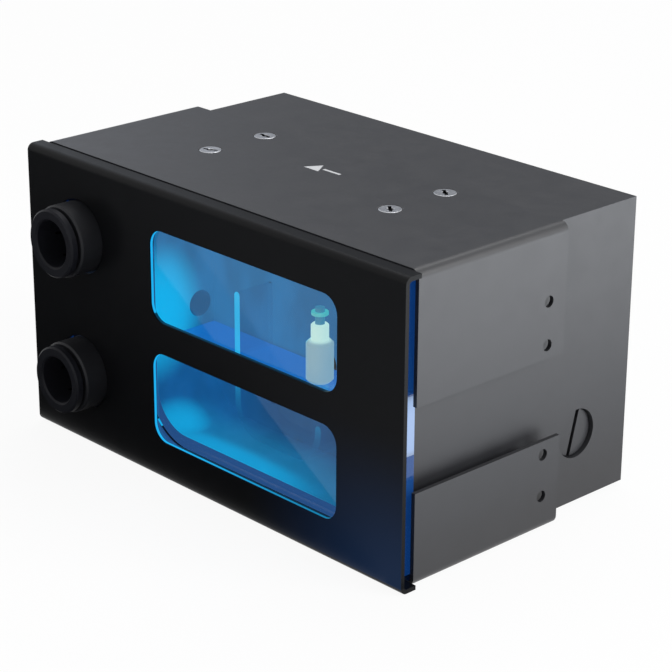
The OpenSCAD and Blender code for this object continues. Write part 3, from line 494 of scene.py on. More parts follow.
@dataclass(frozen=True)
class WindowedPanel(CoatedSheet):
    """Coated front panel with painted light on its window edges and towards its lower right."""

    centre_x: float = 0.0
    half_w: float = 30.0
    half_h: float = 10.0
    centres_z: tuple[float, float] = (0.0, 0.0)
    sheet: float = 1.2
    # Painted light: cyan on the window edges, weaker to the right, with painted shade at a sill.
    lit: Colour = (0.013, 0.45, 0.9)
    far_share: float = 0.45
    sill_shade: float = 0.9
    # Painted navy glow towards the panel's lower right, with its reach along X and Z.
    painted_navy_glow: Colour = (0.003, 0.014, 0.045)
    stray_w: float = 60.0
    stray_h: float = 45.0
    margin: float = 0.3

    def glow(self, graph: Graph) -> dict[str, Value]:
        """Painted cyan light on the windows' cut edges and painted navy glow at lower right."""
        near_x = (graph.x - self.centre_x).size().under(self.half_w + self.margin)
        edges = None
        for centre in self.centres_z:
            near = (graph.z - centre).size().under(self.half_h + self.margin) * near_x
            edges = near if edges is None else edges.most(near)
        cut = graph.y.within(0.4, self.sheet - 0.06, 0.06)
        # Painted shade on the upper window's sill, which dims the painted edge light there.
        sill = self.centres_z[1] - self.half_h
        shaded = graph.z.within(sill - 0.4, sill + 2.0, 0.2)
        left, right = self.centre_x - self.half_w, self.centre_x + self.half_w
        falloff = graph.x.ramp(left, right, 1.0, self.far_share)
        falloff = falloff * (1 - shaded * self.sill_shade)
        # Painted navy glow, stronger to the right and towards the bottom.
        corner = graph.x.ramp(self.centre_x, self.centre_x + self.stray_w)
        corner = corner * graph.z.ramp(0.0, self.stray_h, 1.0, 0.0)
        painted_navy_glow = graph.scaled(self.painted_navy_glow, corner * graph.y.under(0.05, 0.02))
        return self.lit_by(graph.blend(edges * cut, painted_navy_glow, graph.scaled(self.lit, falloff)))


@dataclass(frozen=True)
class RecessShadedSteel(Finish):
    """Bright screw steel with painted shade below its outer face: in the recess and at the rim."""

    middle_z: float = 0.0
    half_h: float = 1.0
    dark: Colour = (0.03, 0.031, 0.034)

    def tint(self, graph: Graph) -> Value:
        """Bright on the outer faces, painted shade below them."""
        below = (graph.z - self.middle_z).size().under(self.half_h - 0.1, 0.06)
        # Painted shade in the recess and at the rim of each screw.
        return graph.blend(below, super().tint(graph), self.dark)


@dataclass(frozen=True)
class LitChamber(Finish):
    """Black acetal outside, and inside the chamber a painted glow of the side lights."""

    low: Point = (0.0, 0.0, 0.0)
    high: Point = (0.0, 0.0, 0.0)
    level: float = 0.0
    # Painted glow colours: sheen and pools, walls by side and height, frame front, return way.
    bright: Colour = (0.006, 0.5, 0.95)
    wall: Colour = (0.006, 0.12, 0.36)
    air: Colour = (0.013, 0.15, 0.36)
    deep: Colour = (0.014, 0.08, 0.2)
    rim: Colour = (0.018, 0.08, 0.25)
    port: Point = (0.0, 0.0, 0.0)
    port_r: float = 1.0
    port_lit: Colour = (0.01, 0.1, 0.25)
    margin: float = 0.3
    soft: float = 0.05
    leak_w: float = 7.0
    leak_h: float = 9.0
    leak_soft: float = 2.0
    sheen_reach: Point = (9.0, 17.0, 22.0)
    foot_reach: Point = (14.0, 13.0, 9.0)
    pool_reach: Point = (44.0, 9.0, 6.0)
    pool_share: float = 0.55
    skirt_reach: Point = (62.0, 23.0, 9.0)
    skirt_share: float = 0.33

    def inside(self, graph: Graph) -> Wire:
        """Mask of the chamber's own faces."""
        more, soft = self.margin, self.soft
        mask = graph.x.within(self.low[0] - more, self.high[0] + more, soft)
        mask = mask * graph.z.within(self.low[2] - more, self.high[2] + more, soft)
        return mask * graph.y.within(self.low[1] + 0.1, self.high[1] + more, soft)

    def spot(self, graph: Graph, centre: Point, reach: Point) -> Wire:
        """Soft round patch of light, 1 at its centre and 0 at its reach."""
        parts = zip((graph.x, graph.y, graph.z), centre, reach)
        total = None
        for axis, middle, size in parts:
            arm = (axis - middle) / size
            total = arm * arm if total is None else total + arm * arm
        return total.ramp(0.0, 1.0, 1.0, 0.0)

    def light(self, graph: Graph) -> Wire:
        """Painted glow over the chamber's walls, with painted sheen and pools of light."""
        left, front, floor = self.low
        upper = graph.z.ramp(self.level - 1.5, self.level + 1.5)
        away = graph.x.ramp(left, left + 30.0)
        tone = graph.blend(upper, self.deep, self.air)
        tone = graph.blend(away, graph.blend(upper, self.wall, self.air), tone)
        # Painted sheen and pools of light on the walls.
        sheen = self.spot(graph, (left, front + 1.0, self.level + 7.0), self.sheen_reach)
        foot = self.spot(graph, (left + 3.0, front + 3.0, floor - 1.0), self.foot_reach)
        pool = self.spot(graph, (left + 31.0, front + 0.5, floor), self.pool_reach)
        skirt = self.spot(graph, (left + 34.0, front + 0.5, floor), self.skirt_reach)
        pooled = pool * pool * self.pool_share + skirt * self.skirt_share
        sheen = sheen.most(foot).most(pooled)
        ripple = graph.noise(9.0, 2, (1, 1, 2)).ramp(0.3, 0.7, 0.85, 1.15)
        return graph.blend(sheen, graph.scaled(tone, ripple), self.bright)

    def face(self, graph: Graph) -> Wire:
        """Mask of the frame's front by the chamber, where painted light leaks along the seal."""
        wide, tall, soft = self.leak_w, self.leak_h, self.leak_soft
        near = graph.x.within(self.low[0] - wide, self.high[0] + wide, soft)
        near = near * graph.y.under(self.low[1] + 0.1, self.soft)
        return near * graph.z.within(self.low[2] - tall, self.high[2] + tall, soft)

    def gallery(self, graph: Graph) -> Wire:
        """Mask of the return way behind its mouth in the left wall, for a painted glow."""
        x, y, z = self.port
        reach = self.port_r + self.margin
        mask = graph.x.within(x - 6 * self.port_r, x, self.soft)
        mask = mask * (graph.y - y).size().under(reach, self.soft)
        return mask * graph.z.within(z - reach, z + 7 * self.port_r, self.soft)

    def glow(self, graph: Graph) -> dict[str, Value]:
        """Painted light: emission of the lit faces."""
        lit = graph.scaled(self.light(graph), self.inside(graph))
        lit = graph.blend(self.gallery(graph), lit, self.port_lit)
        return self.lit_by(graph.blend(self.face(graph), lit, self.rim))


@dataclass(frozen=True)
class Clear(Finish):
    """Clear or tinted solid that is seen through, with a painted glow of its own."""

    alpha: float = 0.2
    lit: Colour = (0.0, 0.0, 0.0)
    solid_alpha: float = 0.9
    solid_lit: Colour = (0.05, 0.6, 0.95)

    def solid(self, graph: Graph) -> Wire:
        """Mask of the faces that catch the light; each clear solid has its own."""
        raise NotImplementedError

    def paint(self, graph: Graph) -> bpy.types.Material:
        """Builds the see-through shader."""
        haze = graph.noise(self.mottle, 3).ramp(0.2, 0.8, self.alpha * 0.9, self.alpha * 1.1)
        solid = self.solid(graph)
        return graph.finish(
            {
                "Base Color": self.tint(graph),
                "Roughness": self.gloss(graph),
                "Specular IOR Level": self.specular,
                "Alpha": haze + solid * (self.solid_alpha - self.alpha),
                "Normal": graph.bump(self.relief(graph), self.grain_depth),
                **self.lit_by(graph.blend(solid, self.lit, self.solid_lit)),
            }
        )


@dataclass(frozen=True)
class SidePlate(Clear):
    """Clear plate with a painted glow at its two short sides, mirroring faintly in front."""

    half_w: float = 69.0
    front_y: float = 1.2
    mirror: float = 0.055
    mirror_roughness: float = 0.03

    def solid(self, graph: Graph) -> Wire:
        """Mask of the short sides."""
        return graph.x.size().over(self.half_w - 0.15, 0.05)

    def paint(self, graph: Graph) -> bpy.types.Material:
        """Builds the see-through shader with a reflection over its front face."""
        super().paint(graph)
        inputs = {"Color": WHITE, "Roughness": self.mirror_roughness}
        gloss = graph.node("ShaderNodeBsdfGlossy", {}, inputs)
        return graph.overlay(graph.y.under(self.front_y + 0.3, 0.1) * self.mirror, gloss)


@dataclass(frozen=True)
class WeirSheet(Clear):
    """Clear weir with a painted shine on its front edge, less so under the coolant."""

    edge_y: float = 0.0
    level: float = 35.0

    def solid(self, graph: Graph) -> Wire:
        """Mask of the front edge, fading with depth under the level."""
        edge = graph.y.under(self.edge_y + 0.12, 0.05)
        return edge * graph.z.ramp(self.level - 20.0, self.level, 0.12, 1.0)


@dataclass(frozen=True)
class Liquid(Clear):
    """Coolant whose surface is less clear and has more painted glow than its sides."""

    level: float = 35.0

    def solid(self, graph: Graph) -> Wire:
        """Mask of the surface."""
        return graph.z.over(self.level - 0.06, 0.03)


@dataclass(frozen=True)
class LitFloat(Finish):
    """Pale plastic with painted light of the tank: cyan on its left, warm at its neck."""

    axis_x: float = 0.0
    neck_z: float = 47.0
    body_lit: Colour = (0.2, 0.36, 0.42)
    side_lit: Colour = (0.06, 0.68, 0.9)
    neck_lit: Colour = (0.5, 0.78, 0.7)
    side_from: float = -3.9
    side_to: float = -1.6

    def glow(self, graph: Graph) -> dict[str, Value]:
        """Painted light on the float by side and height."""
        side = (graph.x - self.axis_x).ramp(self.side_from, self.side_to, 1.0, 0.0)
        lit = graph.blend(graph.z.over(self.neck_z, 0.5), self.body_lit, self.neck_lit)
        return self.lit_by(graph.blend(side, lit, self.side_lit))


@dataclass(frozen=True)
class PaintedGlow(Finish):
    """Solid with a painted glow, brighter towards the middle of its height."""

    lit: Colour = (0.5, 0.55, 0.8)
    low_z: float = 0.0
    high_z: float = 1.0
    fade_share: float = 0.04
    end_share: float = 0.5

    def glow(self, graph: Graph) -> dict[str, Value]:
        """Painted light that fades to both ends."""
        span = self.high_z - self.low_z
        inset = span * self.fade_share
        ends = graph.z.within(self.low_z + inset, self.high_z - inset, inset * 2)
        level = ends * (1 - self.end_share) + self.end_share
        return self.lit_by(graph.scaled(self.lit, level))


@dataclass(frozen=True)
class PrintedBoard(Finish):
    """Circuit board with solder mask, tracks and pads."""

    track: Colour = (0.02, 0.12, 0.05)
    pad: Colour = (0.6, 0.5, 0.25)
    track_size: float = 3.0
    pad_spread: float = 1.9
    pad_r: float = 0.16

    def tint(self, graph: Graph) -> Value:
        """Mask colour with tracks and scattered pads."""
        tracks = graph.noise(self.track_size, 0, (0.25, 1, 1)).within(0.47, 0.52, 0.01)
        pads = graph.cells(self.pad_spread).under(self.pad_r, 0.02)
        base = graph.blend(tracks, super().tint(graph), self.track)
        return graph.blend(pads, base, self.pad)


PANEL_BLACK = (0.004, 0.0042, 0.005)
COAT_BLACK = (0.02, 0.0205, 0.0235)
RUBBER_BLACK = (0.012, 0.012, 0.013)
MOULDED = {"grain": 0.35, "grain_depth": 0.012}

STEEL = Finish("bright_steel", (0.8, 0.81, 0.82), 0.22, 1.0, grain=0.3, grain_depth=0.004)
SPRING = Finish("spring_steel", (0.5, 0.5, 0.48), 0.28, 1.0)
RUBBER = Finish("rubber", RUBBER_BLACK, 0.55, grain=0.4, grain_depth=0.01)
# Painted glow of the tank's blue light on the black seal.
SEAL = PaintedGlow("lit_seal", RUBBER_BLACK, 0.4, lit=(0.02, 0.085, 0.26), low_z=-60.0, high_z=60.0)
FITTING = Finish("connector_plastic", (0.011, 0.0115, 0.014), 0.5, specular=0.2, **MOULDED)
COLLET = Finish("collet_plastic", (0.0085, 0.009, 0.012), 0.46, specular=0.1, **MOULDED)
ACETAL = Finish("black_acetal", COAT_BLACK, 0.4, grain=0.8, grain_depth=0.006)
IMPELLER = Finish("impeller_plastic", (0.55, 0.55, 0.5), 0.4)
MAGNET = Finish("ferrite", (0.05, 0.05, 0.052), 0.45, grain=0.25, grain_depth=0.01)
CARBON = Finish("carbon_bush", (0.03, 0.03, 0.032), 0.35)
CERAMIC = Finish("ceramic_shaft", (0.8, 0.8, 0.77), 0.15)
CAN = Finish("separating_can", (0.5, 0.5, 0.48), 0.4)
MOTOR = Finish("motor_plastic", (0.03, 0.03, 0.032), 0.45)
# Painted glow of the tank's light on the stem and the clips.
SENSOR = PaintedGlow(
    "sensor_plastic", (0.1, 0.12, 0.14), 0.4, lit=(0.02, 0.2, 0.34), low_z=20.0, high_z=60.0
)
CLIP = PaintedGlow(
    "clip_steel", (0.3, 0.34, 0.34), 0.3, lit=(0.03, 0.42, 0.42), low_z=30.0, high_z=60.0
)
CORE = Striped("lamination", (0.35, 0.36, 0.38), 0.35, 0.9, pitch=0.5, grain_depth=0.03)
COIL = Striped("winding", (0.6, 0.24, 0.07), 0.3, 0.8, pitch=0.45, grain_depth=0.08)
BOARD = PrintedBoard("board", (0.01, 0.07, 0.03), 0.35, coat=0.4)


# ---------------------------------------------------------------- meshes


class Maker:
    """Makes meshes and objects in the row frame."""

    @staticmethod
    def place(name: str, data: bpy.types.ID | None) -> bpy.types.Object:
        """Links an object with this data into the scene, at the origin."""
        made = bpy.data.objects.new(name, data)
        bpy.context.scene.collection.objects.link(made)
        return made

    @staticmethod
    def smooth(mesh: bpy.types.Mesh) -> None:
        """Smooths a mesh and keeps its sharp edges."""
        for face in mesh.polygons:
            face.use_smooth = True
        mesh.set_sharp_from_angle(angle=SHARP_ANGLE)

    @staticmethod
    def wrap(name: str, shape: bmesh.types.BMesh, finish: Finish) -> bpy.types.Object:
        """Turns a shape in the unit's millimetres into a finished object.

        Args:
            name: Name of the piece.
            shape: Shape; it is used up.
            finish: Finish of the whole piece.

        Returns:
            The object, at the origin, unturned and unscaled.
        """
        bmesh.ops.remove_doubles(shape, verts=shape.verts, dist=0.0005)
        bmesh.ops.recalc_face_normals(shape, faces=shape.faces)
        for vertex in shape.verts:
            vertex.co = to_world(vertex.co)
        mesh = bpy.data.meshes.new(name)
        shape.to_mesh(mesh)
        shape.free()
        Maker.smooth(mesh)
        mesh.materials.append(finish.material())
        return Maker.place(name, mesh)

    @staticmethod
    def dress(node: str, finish: Finish) -> None:
        """Gives a CAD node its finish."""
        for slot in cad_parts[node].material_slots:
            slot.material = finish.material()
        log.info("dressed %s in %s", node, finish.name)


# ---------------------------------------------------------------- screws


class GeometryTree(Nodes):
    """Builds one geometry node tree with named inputs."""

    def __init__(self, name: str, inputs: dict[str, str]) -> None:
        """Starts a tree with a geometry input and output.

        Args:
            name: Name of the tree.
            inputs: Socket type of each further input, by name.
        """
        super().__init__(bpy.data.node_groups.new(name, "GeometryNodeTree"))
        face = self.tree.interface
        face.new_socket("Geometry", in_out="INPUT", socket_type="NodeSocketGeometry")
        face.new_socket("Geometry", in_out="OUTPUT", socket_type="NodeSocketGeometry")
        self.sockets = {
            label: face.new_socket(label, in_out="INPUT", socket_type=kind).identifier
            for label, kind in inputs.items()
        }
        self.entry = self.node("NodeGroupInput")
        self.exit = self.node("NodeGroupOutput")

    def given(self, label: str) -> bpy.types.NodeSocket:
        """Socket that carries a named input."""
        return self.entry.outputs[label]

    def math(self, operation: str, first: Any, second: Any) -> bpy.types.NodeSocket:
        """Adds one Math node and returns its value."""
        pair = {0: first, 1: second}
        return self.node("ShaderNodeMath", {"operation": operation}, pair).outputs[0]

    def times(self, first: Any, second: Any) -> bpy.types.NodeSocket:
        """Product of two values."""
        return self.math("MULTIPLY", first, second)

    def moved(
        self, shape: bpy.types.NodeSocket, z: Any = 0.0, turn: float = 0.0
    ) -> bpy.types.NodeSocket:
        """Shape lifted along Z and turned about it."""
        offset = self.node("ShaderNodeCombineXYZ", {}, {"Z": z}).outputs[0]
        inputs = {"Geometry": shape, "Translation": offset, "Rotation": (0, 0, turn)}
        return self.node("GeometryNodeTransform", {}, inputs).outputs[0]

    def cone(
        self, top_r: Any, bottom_r: Any, depth: Any, vertices: int = 64
    ) -> bpy.types.NodeSocket:
        """Closed cone that stands on the ground."""
        inputs = {
            "Vertices": vertices,
            "Radius Top": top_r,
            "Radius Bottom": bottom_r,
            "Depth": depth,
        }
        return self.node("GeometryNodeMeshCone", {"fill_type": "NGON"}, inputs).outputs[0]

    def joined(self, operation: str, inputs: dict[int, Any]) -> bpy.types.NodeSocket:
        """Result of a boolean operation."""
        return self.node("GeometryNodeMeshBoolean", {"operation": operation}, inputs).outputs[0]

    def close(self, shape: bpy.types.NodeSocket, finish: Finish) -> None:
        """Ends the tree: real geometry with its material."""
        real = self.node("GeometryNodeRealizeInstances", {}, {0: shape}).outputs[0]
        inputs = {"Geometry": real, "Material": finish.material()}
        made = self.node("GeometryNodeSetMaterial", {}, inputs)
        self.feed(self.exit.inputs[0], made.outputs[0])

    def grow(self, name: str, points: Sequence[Point], values: dict[str, Any]) -> bpy.types.Object:
        """Runs the tree on points and keeps the result as a plain mesh.

        Args:
            name: Name of the piece.
            points: Places, in the unit's millimetres.
            values: Value of each named input.

        Returns:
            The new object, at the origin.
        """
        seeds = bpy.data.meshes.new(name + "_points")
        seeds.from_pydata([to_world(point) for point in points], [], [])
        carrier = Maker.place(name + "_points", seeds)
        modifier = carrier.modifiers.new("grow", "NODES")
        modifier.node_group = self.tree
        for label, value in values.items():
            modifier[self.sockets[label]] = value
        graph = bpy.context.evaluated_depsgraph_get()
        mesh = bpy.data.meshes.new_from_object(carrier.evaluated_get(graph), depsgraph=graph)
        mesh.name = name
        bpy.data.objects.remove(carrier)
        Maker.smooth(mesh)
        return Maker.place(name, mesh)


@dataclass
class BracketScrews:
    """Countersunk screws with a recess of two crossed cutters and a pit, all of one size.

    The cutters are worked out in millimetres, because the boolean fails on a screw
    in metres; the instances shrink it. One arm of the cross doesn't show.
    """

    name: str
    node: str
    points: Sequence[Point]
    facing: Facing
    head_d: float
    shank_d: float
    length: float
    finish: Finish
    slot: str = "steel"

    tree: ClassVar[GeometryTree | None] = None

    # Shares of the head's radius, and of the cone's depth for the pit's drop.
    RIM: ClassVar[float] = 0.1
    LAP: ClassVar[float] = 0.02
    FLAT_R: ClassVar[float] = 0.86
    ARM_L: ClassVar[float] = 1.3
    ARM_W: ClassVar[float] = 0.27
    PIT_R: ClassVar[float] = 0.34
    PIT_TIP_R: ClassVar[float] = 0.05
    PIT_DROP: ClassVar[float] = -0.8
    SEED: ClassVar[int] = 7

    @classmethod
    def pattern(cls, finish: Finish) -> GeometryTree:
        """Tree that puts one screw on every point."""
        if cls.tree:
            return cls.tree
        kinds = {label: "NodeSocketFloat" for label in ("Head Radius", "Shank Radius", "Length")}
        grown = GeometryTree("cross_screws", kinds | {"Facing": "NodeSocketVector"})
        head_r, shank_r = grown.given("Head Radius"), grown.given("Shank Radius")
        rim, lap = grown.times(head_r, cls.RIM), grown.times(head_r, cls.LAP)
        depth = grown.math("SUBTRACT", head_r, shank_r)
        low = grown.times(grown.math("ADD", depth, rim), -1.0)
        edge_h = grown.math("ADD", rim, lap)
        edge = grown.cone(grown.times(head_r, cls.FLAT_R), head_r, edge_h)
        edge = grown.moved(edge, grown.times(edge_h, -1.0))
        cone = grown.moved(grown.cone(head_r, shank_r, depth), low)
        long = grown.math("ADD", grown.given("Length"), low)
        size = {"Vertices": 32, "Radius": shank_r, "Depth": long}
        shank = grown.node("GeometryNodeMeshCylinder", {"fill_type": "NGON"}, size).outputs[0]
        sunk = grown.math("SUBTRACT", low, grown.times(long, 0.5))
        shank = grown.moved(shank, grown.math("ADD", sunk, lap))
        cutters = []
        for turn in (math.pi / 4, -math.pi / 4):
            arm_l, arm_w = grown.times(head_r, cls.ARM_L), grown.times(head_r, cls.ARM_W)
            arm = grown.node("ShaderNodeCombineXYZ", {}, {"X": arm_l, "Y": arm_w, "Z": depth})
            cube = grown.node("GeometryNodeMeshCube", {}, {"Size": arm.outputs[0]}).outputs[0]
            cutters.append(grown.moved(cube, 0.0, turn))
        pit_r, tip_r = grown.times(head_r, cls.PIT_R), grown.times(head_r, cls.PIT_TIP_R)
        pit = grown.cone(pit_r, tip_r, depth, vertices=24)
        cutters.append(grown.moved(pit, grown.times(depth, cls.PIT_DROP)))
        solid = grown.joined("UNION", {1: [edge, cone, shank]})
        spread = {
            "Points": grown.given("Geometry"),
            "Instance": grown.joined("DIFFERENCE", {0: solid, 1: cutters}),
            "Rotation": grown.given("Facing"),
            "Scale": (MM, MM, MM),
        }
        screws = grown.node("GeometryNodeInstanceOnPoints", {}, spread).outputs[0]
        span = {2: 0.0, 3: math.pi / 2, "Seed": cls.SEED}
        chance = grown.node("FunctionNodeRandomValue", {"data_type": "FLOAT"}, span)
        turn = grown.node("ShaderNodeCombineXYZ", {}, {"Z": chance.outputs[1]}).outputs[0]
        turned = {"Instances": screws, "Rotation": turn}
        grown.close(grown.node("GeometryNodeRotateInstances", {}, turned).outputs[0], finish)
        cls.tree = grown
        return grown

    def build(self) -> bpy.types.Object:
        """Grows the screws and puts them in place of their CAD node."""
        made = self.pattern(self.finish).grow(
            self.name,
            self.points,
            {
                "Head Radius": self.head_d / 2,
                "Shank Radius": self.shank_d / 2,
                "Length": self.length,
                "Facing": self.facing.value,
            },
        )
        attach(made, UNIT)
        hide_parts(self.node)
        log.info("built %s, %d screws", self.name, len(self.points))
        return made


# ---------------------------------------------------------------- sub-assemblies


@dataclass
class SheetMetal:
    """Folded front panel and the two brackets with their screws."""

    panel: Block = field(default_factory=lambda: Block.of("front_panel"))
    top: Block = field(default_factory=lambda: Block.of("top_bracket"))
    bottom: Block = field(default_factory=lambda: Block.of("bottom_bracket"))
    sheet: float = 1.2
    window_x: float = 14.8
    window_w: float = 72.3
    window_h: float = 26.0
    window_pitch: float = 34.8
    screw_head_d: float = 6.8
    screw_d: float = 3.8
    screw_length: float = 8.0

    def dress(self) -> None:
        """Coats the sheets, prints the mark and paints light on the window edges."""
        middle = self.panel.middle.z
        half = self.window_pitch / 2
        panel = WindowedPanel(
            "panel_coat",
            PANEL_BLACK,
            0.34,
            specular=0.1,
            grain=0.5,
            grain_depth=0.006,
            centre_x=self.window_x,
            half_w=self.window_w / 2,
            half_h=self.window_h / 2,
            centres_z=(middle - half, middle + half),
            sheet=self.sheet,
        )
        coat = {"roughness": 0.38, "specular": 0.5, "grain": 0.5, "grain_depth": 0.008}
        top = MarkedSheet(
            "top_bracket_coat",
            COAT_BLACK,
            mark_at=(0.0, self.top.middle.y + 11.5),
            top_z=self.top.high.z,
            **coat,
        )
        Maker.dress("front_panel", panel)
        Maker.dress("top_bracket", top)
        Maker.dress("bottom_bracket", CoatedSheet("bottom_bracket_coat", COAT_BLACK, **coat))

    def screw_points(self, node: str, z: float) -> list[Point]:
        """Places of the four screws of one bracket, at its outer face."""
        screws = Block.of(node)
        inset = self.screw_head_d / 2
        return [
            (x, y, z)
            for x in (screws.low.x + inset, screws.high.x - inset)
            for y in (screws.low.y + inset, screws.high.y - inset)
        ]

    def build(self) -> None:
        """Builds the screws of both brackets."""
        sizes = (self.screw_head_d, self.screw_d - 0.1, self.screw_length)
        # Screw steel with painted shade below its outer face.
        steel = RecessShadedSteel(
            "screw_steel",
            (0.56, 0.57, 0.6),
            0.3,
            1.0,
            contrast=0.2,
            mottle=1.4,
            middle_z=(self.top.high.z + self.bottom.low.z) / 2,
            half_h=(self.top.high.z - self.bottom.low.z) / 2 - 0.02,
        )
        for name, node, z, facing in (
            ("top_screws", "top_bracket_screws", self.top.high.z - 0.02, Facing.UP),
            ("bottom_screws", "bottom_bracket_screws", self.bottom.low.z + 0.02, Facing.DOWN),
        ):
            points = self.screw_points(node, z)
            BracketScrews(name, node, points, facing, *sizes, steel).build()


@dataclass
class Tank:
    """Tank frame, back wall, clear plate, weir, coolant and seals."""

    body: Block = field(default_factory=lambda: Block.of("tank_body"))
    seal: Block = field(default_factory=lambda: Block.of("window_seal"))
    weir: Block = field(default_factory=lambda: Block.of("flow_baffle"))
    level: float = 35.4
    seal_rim: float = 4.2
    corner_r: float = 12.0
    port_y: float = 25.2
    port_z: float = 41.9
    port_r: float = 3.8
    play: float = 0.12
    corner_steps: int = 12

    @property
    def low(self) -> Point:
        """Lowest corner of the chamber."""
        rim, seal = self.seal_rim, self.seal.low
        return (seal.x + rim, self.body.low.y, seal.z + rim)

    @property
    def high(self) -> Point:
        """Highest corner of the chamber."""
        rim, seal = self.seal_rim, self.seal.high
        return (seal.x - rim, self.body.high.y, seal.z - rim)

    def dress(self) -> None:
        """Gives the tank's nodes their finishes."""
        look = {
            "low": self.low,
            "high": self.high,
            "level": self.level,
            "port": (self.low[0] - 0.1, self.port_y, self.port_z),
            "port_r": self.port_r,
        }
        # Painted glow of the side lights inside the chamber.
        Maker.dress("tank_body", LitChamber("tank_frame", COAT_BLACK, 0.4, **look))
        Maker.dress("tank_back", LitChamber("tank_wall", COAT_BLACK, 0.4, **look))
        # Painted glow on the plate's two short sides.
        plate = SidePlate(
            "clear_plate",
            (0.01, 0.04, 0.12),
            0.04,
            alpha=0.06,
            grain=30.0,
            grain_depth=0.002,
            solid_lit=(0.003, 0.03, 0.14),
        )
        Maker.dress("window_plate", plate)
        # Painted glow on the weir, brightest on its front edge.
        weir = WeirSheet(
            "weir_acrylic",
            (0.02, 0.12, 0.3),
            0.1,
            alpha=0.1,
            lit=(0.006, 0.05, 0.13),
            solid_lit=(0.02, 0.5, 0.85),
            edge_y=self.weir.low.y,
            level=self.level,
        )
        Maker.dress("flow_baffle", weir)
        Maker.dress("window_seal", SEAL)
        Maker.dress("tank_screws", STEEL)

    def build(self) -> bpy.types.Object:
        """Fills the chamber with coolant up to its level."""
        shape = bmesh.new()
        play = Vector((self.play,) * 3)
        low, high = Vector(self.low) + play, Vector(self.high) - play
        radius = self.corner_r - self.play
        outline = [(high.x, self.level), (low.x, self.level)]
        for middle, start in ((low.x + radius, math.pi), (high.x - radius, math.pi * 1.5)):
            for step in range(self.corner_steps + 1):
                turn = start + step / self.corner_steps * math.pi / 2
                across, up = radius * math.cos(turn), radius * math.sin(turn)
                outline.append((middle + across, low.z + radius + up))
        faces = []
        for y in (low.y, high.y):
            faces.append(shape.faces.new([shape.verts.new((x, y, z)) for x, z in outline]))
        bmesh.ops.bridge_loops(shape, edges=[edge for face in faces for edge in face.edges])
        # Painted glow in the coolant, brightest at its surface.
        coolant = Liquid(
            "coolant",
            (0.004, 0.05, 0.2),
            0.05,
            alpha=0.1,
            lit=(0.004, 0.03, 0.1),
            grain=14.0,
            grain_depth=0.02,
            solid_alpha=0.85,
            solid_lit=(0.006, 0.15, 0.52),
            level=self.level,
        )
        made = Maker.wrap("coolant", shape, coolant)
        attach(made, UNIT)
        log.info("built coolant up to z %.1f", self.level)
        return made


@dataclass
class LevelGauge:
    """Float on its stem, with clips."""

    float_block: Block = field(default_factory=lambda: Block.of("level_float"))
    neck_h: float = 4.6

    def dress(self) -> None:
        """Gives the gauge its finishes."""
        # Painted light of the tank on the float.
        pale = LitFloat(
            "float_plastic",
            (0.3, 0.33, 0.32),
            0.45,
            axis_x=self.float_block.middle.x,
            neck_z=self.float_block.high.z - self.neck_h,
        )
        Maker.dress("level_sensor_stem", SENSOR)
        Maker.dress("float_clips", CLIP)
        Maker.dress("level_float", pale)


@dataclass
class SideLights:
    """Milky bars in both sides of the plate and the boards behind them."""

    guide: Block = field(default_factory=lambda: Block.of("right_light_guide"))

    def dress(self) -> None:
        """Gives the lights their finishes."""
        # Painted glow of the side lights in the milky bars.
        milky = PaintedGlow(
            "light_guide",
            (0.1, 0.11, 0.14),
            0.3,
            lit=(0.2, 0.33, 0.58),
            low_z=self.guide.low.z,
            high_z=self.guide.high.z,
        )
        for side in ("left", "right"):
            Maker.dress(f"{side}_light_guide", milky)
        Maker.dress("light_boards", BOARD)


@dataclass
class TubeConnector:
    """Push-in tube connector: body, collet that slides, grab ring and seals."""

    side: str

    def dress(self) -> None:
        """Gives the connector its finishes."""
        for part, finish in {
            "connector_body": FITTING,
            "collet": COLLET,
            "grab_ring": SPRING,
            "tube_seal": RUBBER,
            "port_seal": RUBBER,
        }.items():
            Maker.dress(f"{self.side}_{part}", finish)


@dataclass
class PumpBlock:
    """Pump housing with its rear cover, seals and power socket."""

    def dress(self) -> None:
        """Gives the block its finishes."""
        Maker.dress("pump_housing", ACETAL)
        Maker.dress("rear_cover", CoatedSheet("rear_cover_coat", COAT_BLACK, 0.4))
        Maker.dress("rear_cover_screws", STEEL)
        Maker.dress("joint_seals", RUBBER)
        Maker.dress("power_socket", MOTOR)


@dataclass
class Pump:
    """Canned-rotor pump: impeller and rotor in front, motor behind."""

    def dress(self) -> None:
        """Gives the pump its finishes."""
        for node, finish in {
            "impeller": IMPELLER,
            "rotor_magnet": MAGNET,
            "rotor_bush": CARBON,
            "pump_shaft": CERAMIC,
            "separating_can": CAN,
            "pump_seal": RUBBER,
            "stator_core": CORE,
            "stator_coils": COIL,
            "motor_shell": MOTOR,
            "control_board": BOARD,
            "pump_screws": STEEL,
        }.items():
            Maker.dress(node, finish)


@dataclass
class SidePlug:
    """Slotted filler plug in the right side."""

    def dress(self) -> None:
        """Gives the plug its finishes."""
        Maker.dress("side_plug", CoatedSheet("plug_coat", COAT_BLACK, 0.36))
        Maker.dress("side_plug_seal", RUBBER)


# ---------------------------------------------------------------- studio


@dataclass
class Lamp:
    """Soft rectangular lamp that looks at the unit."""

    name: str
    place: Point
    size: float
    power: float
    tint: Colour = WHITE


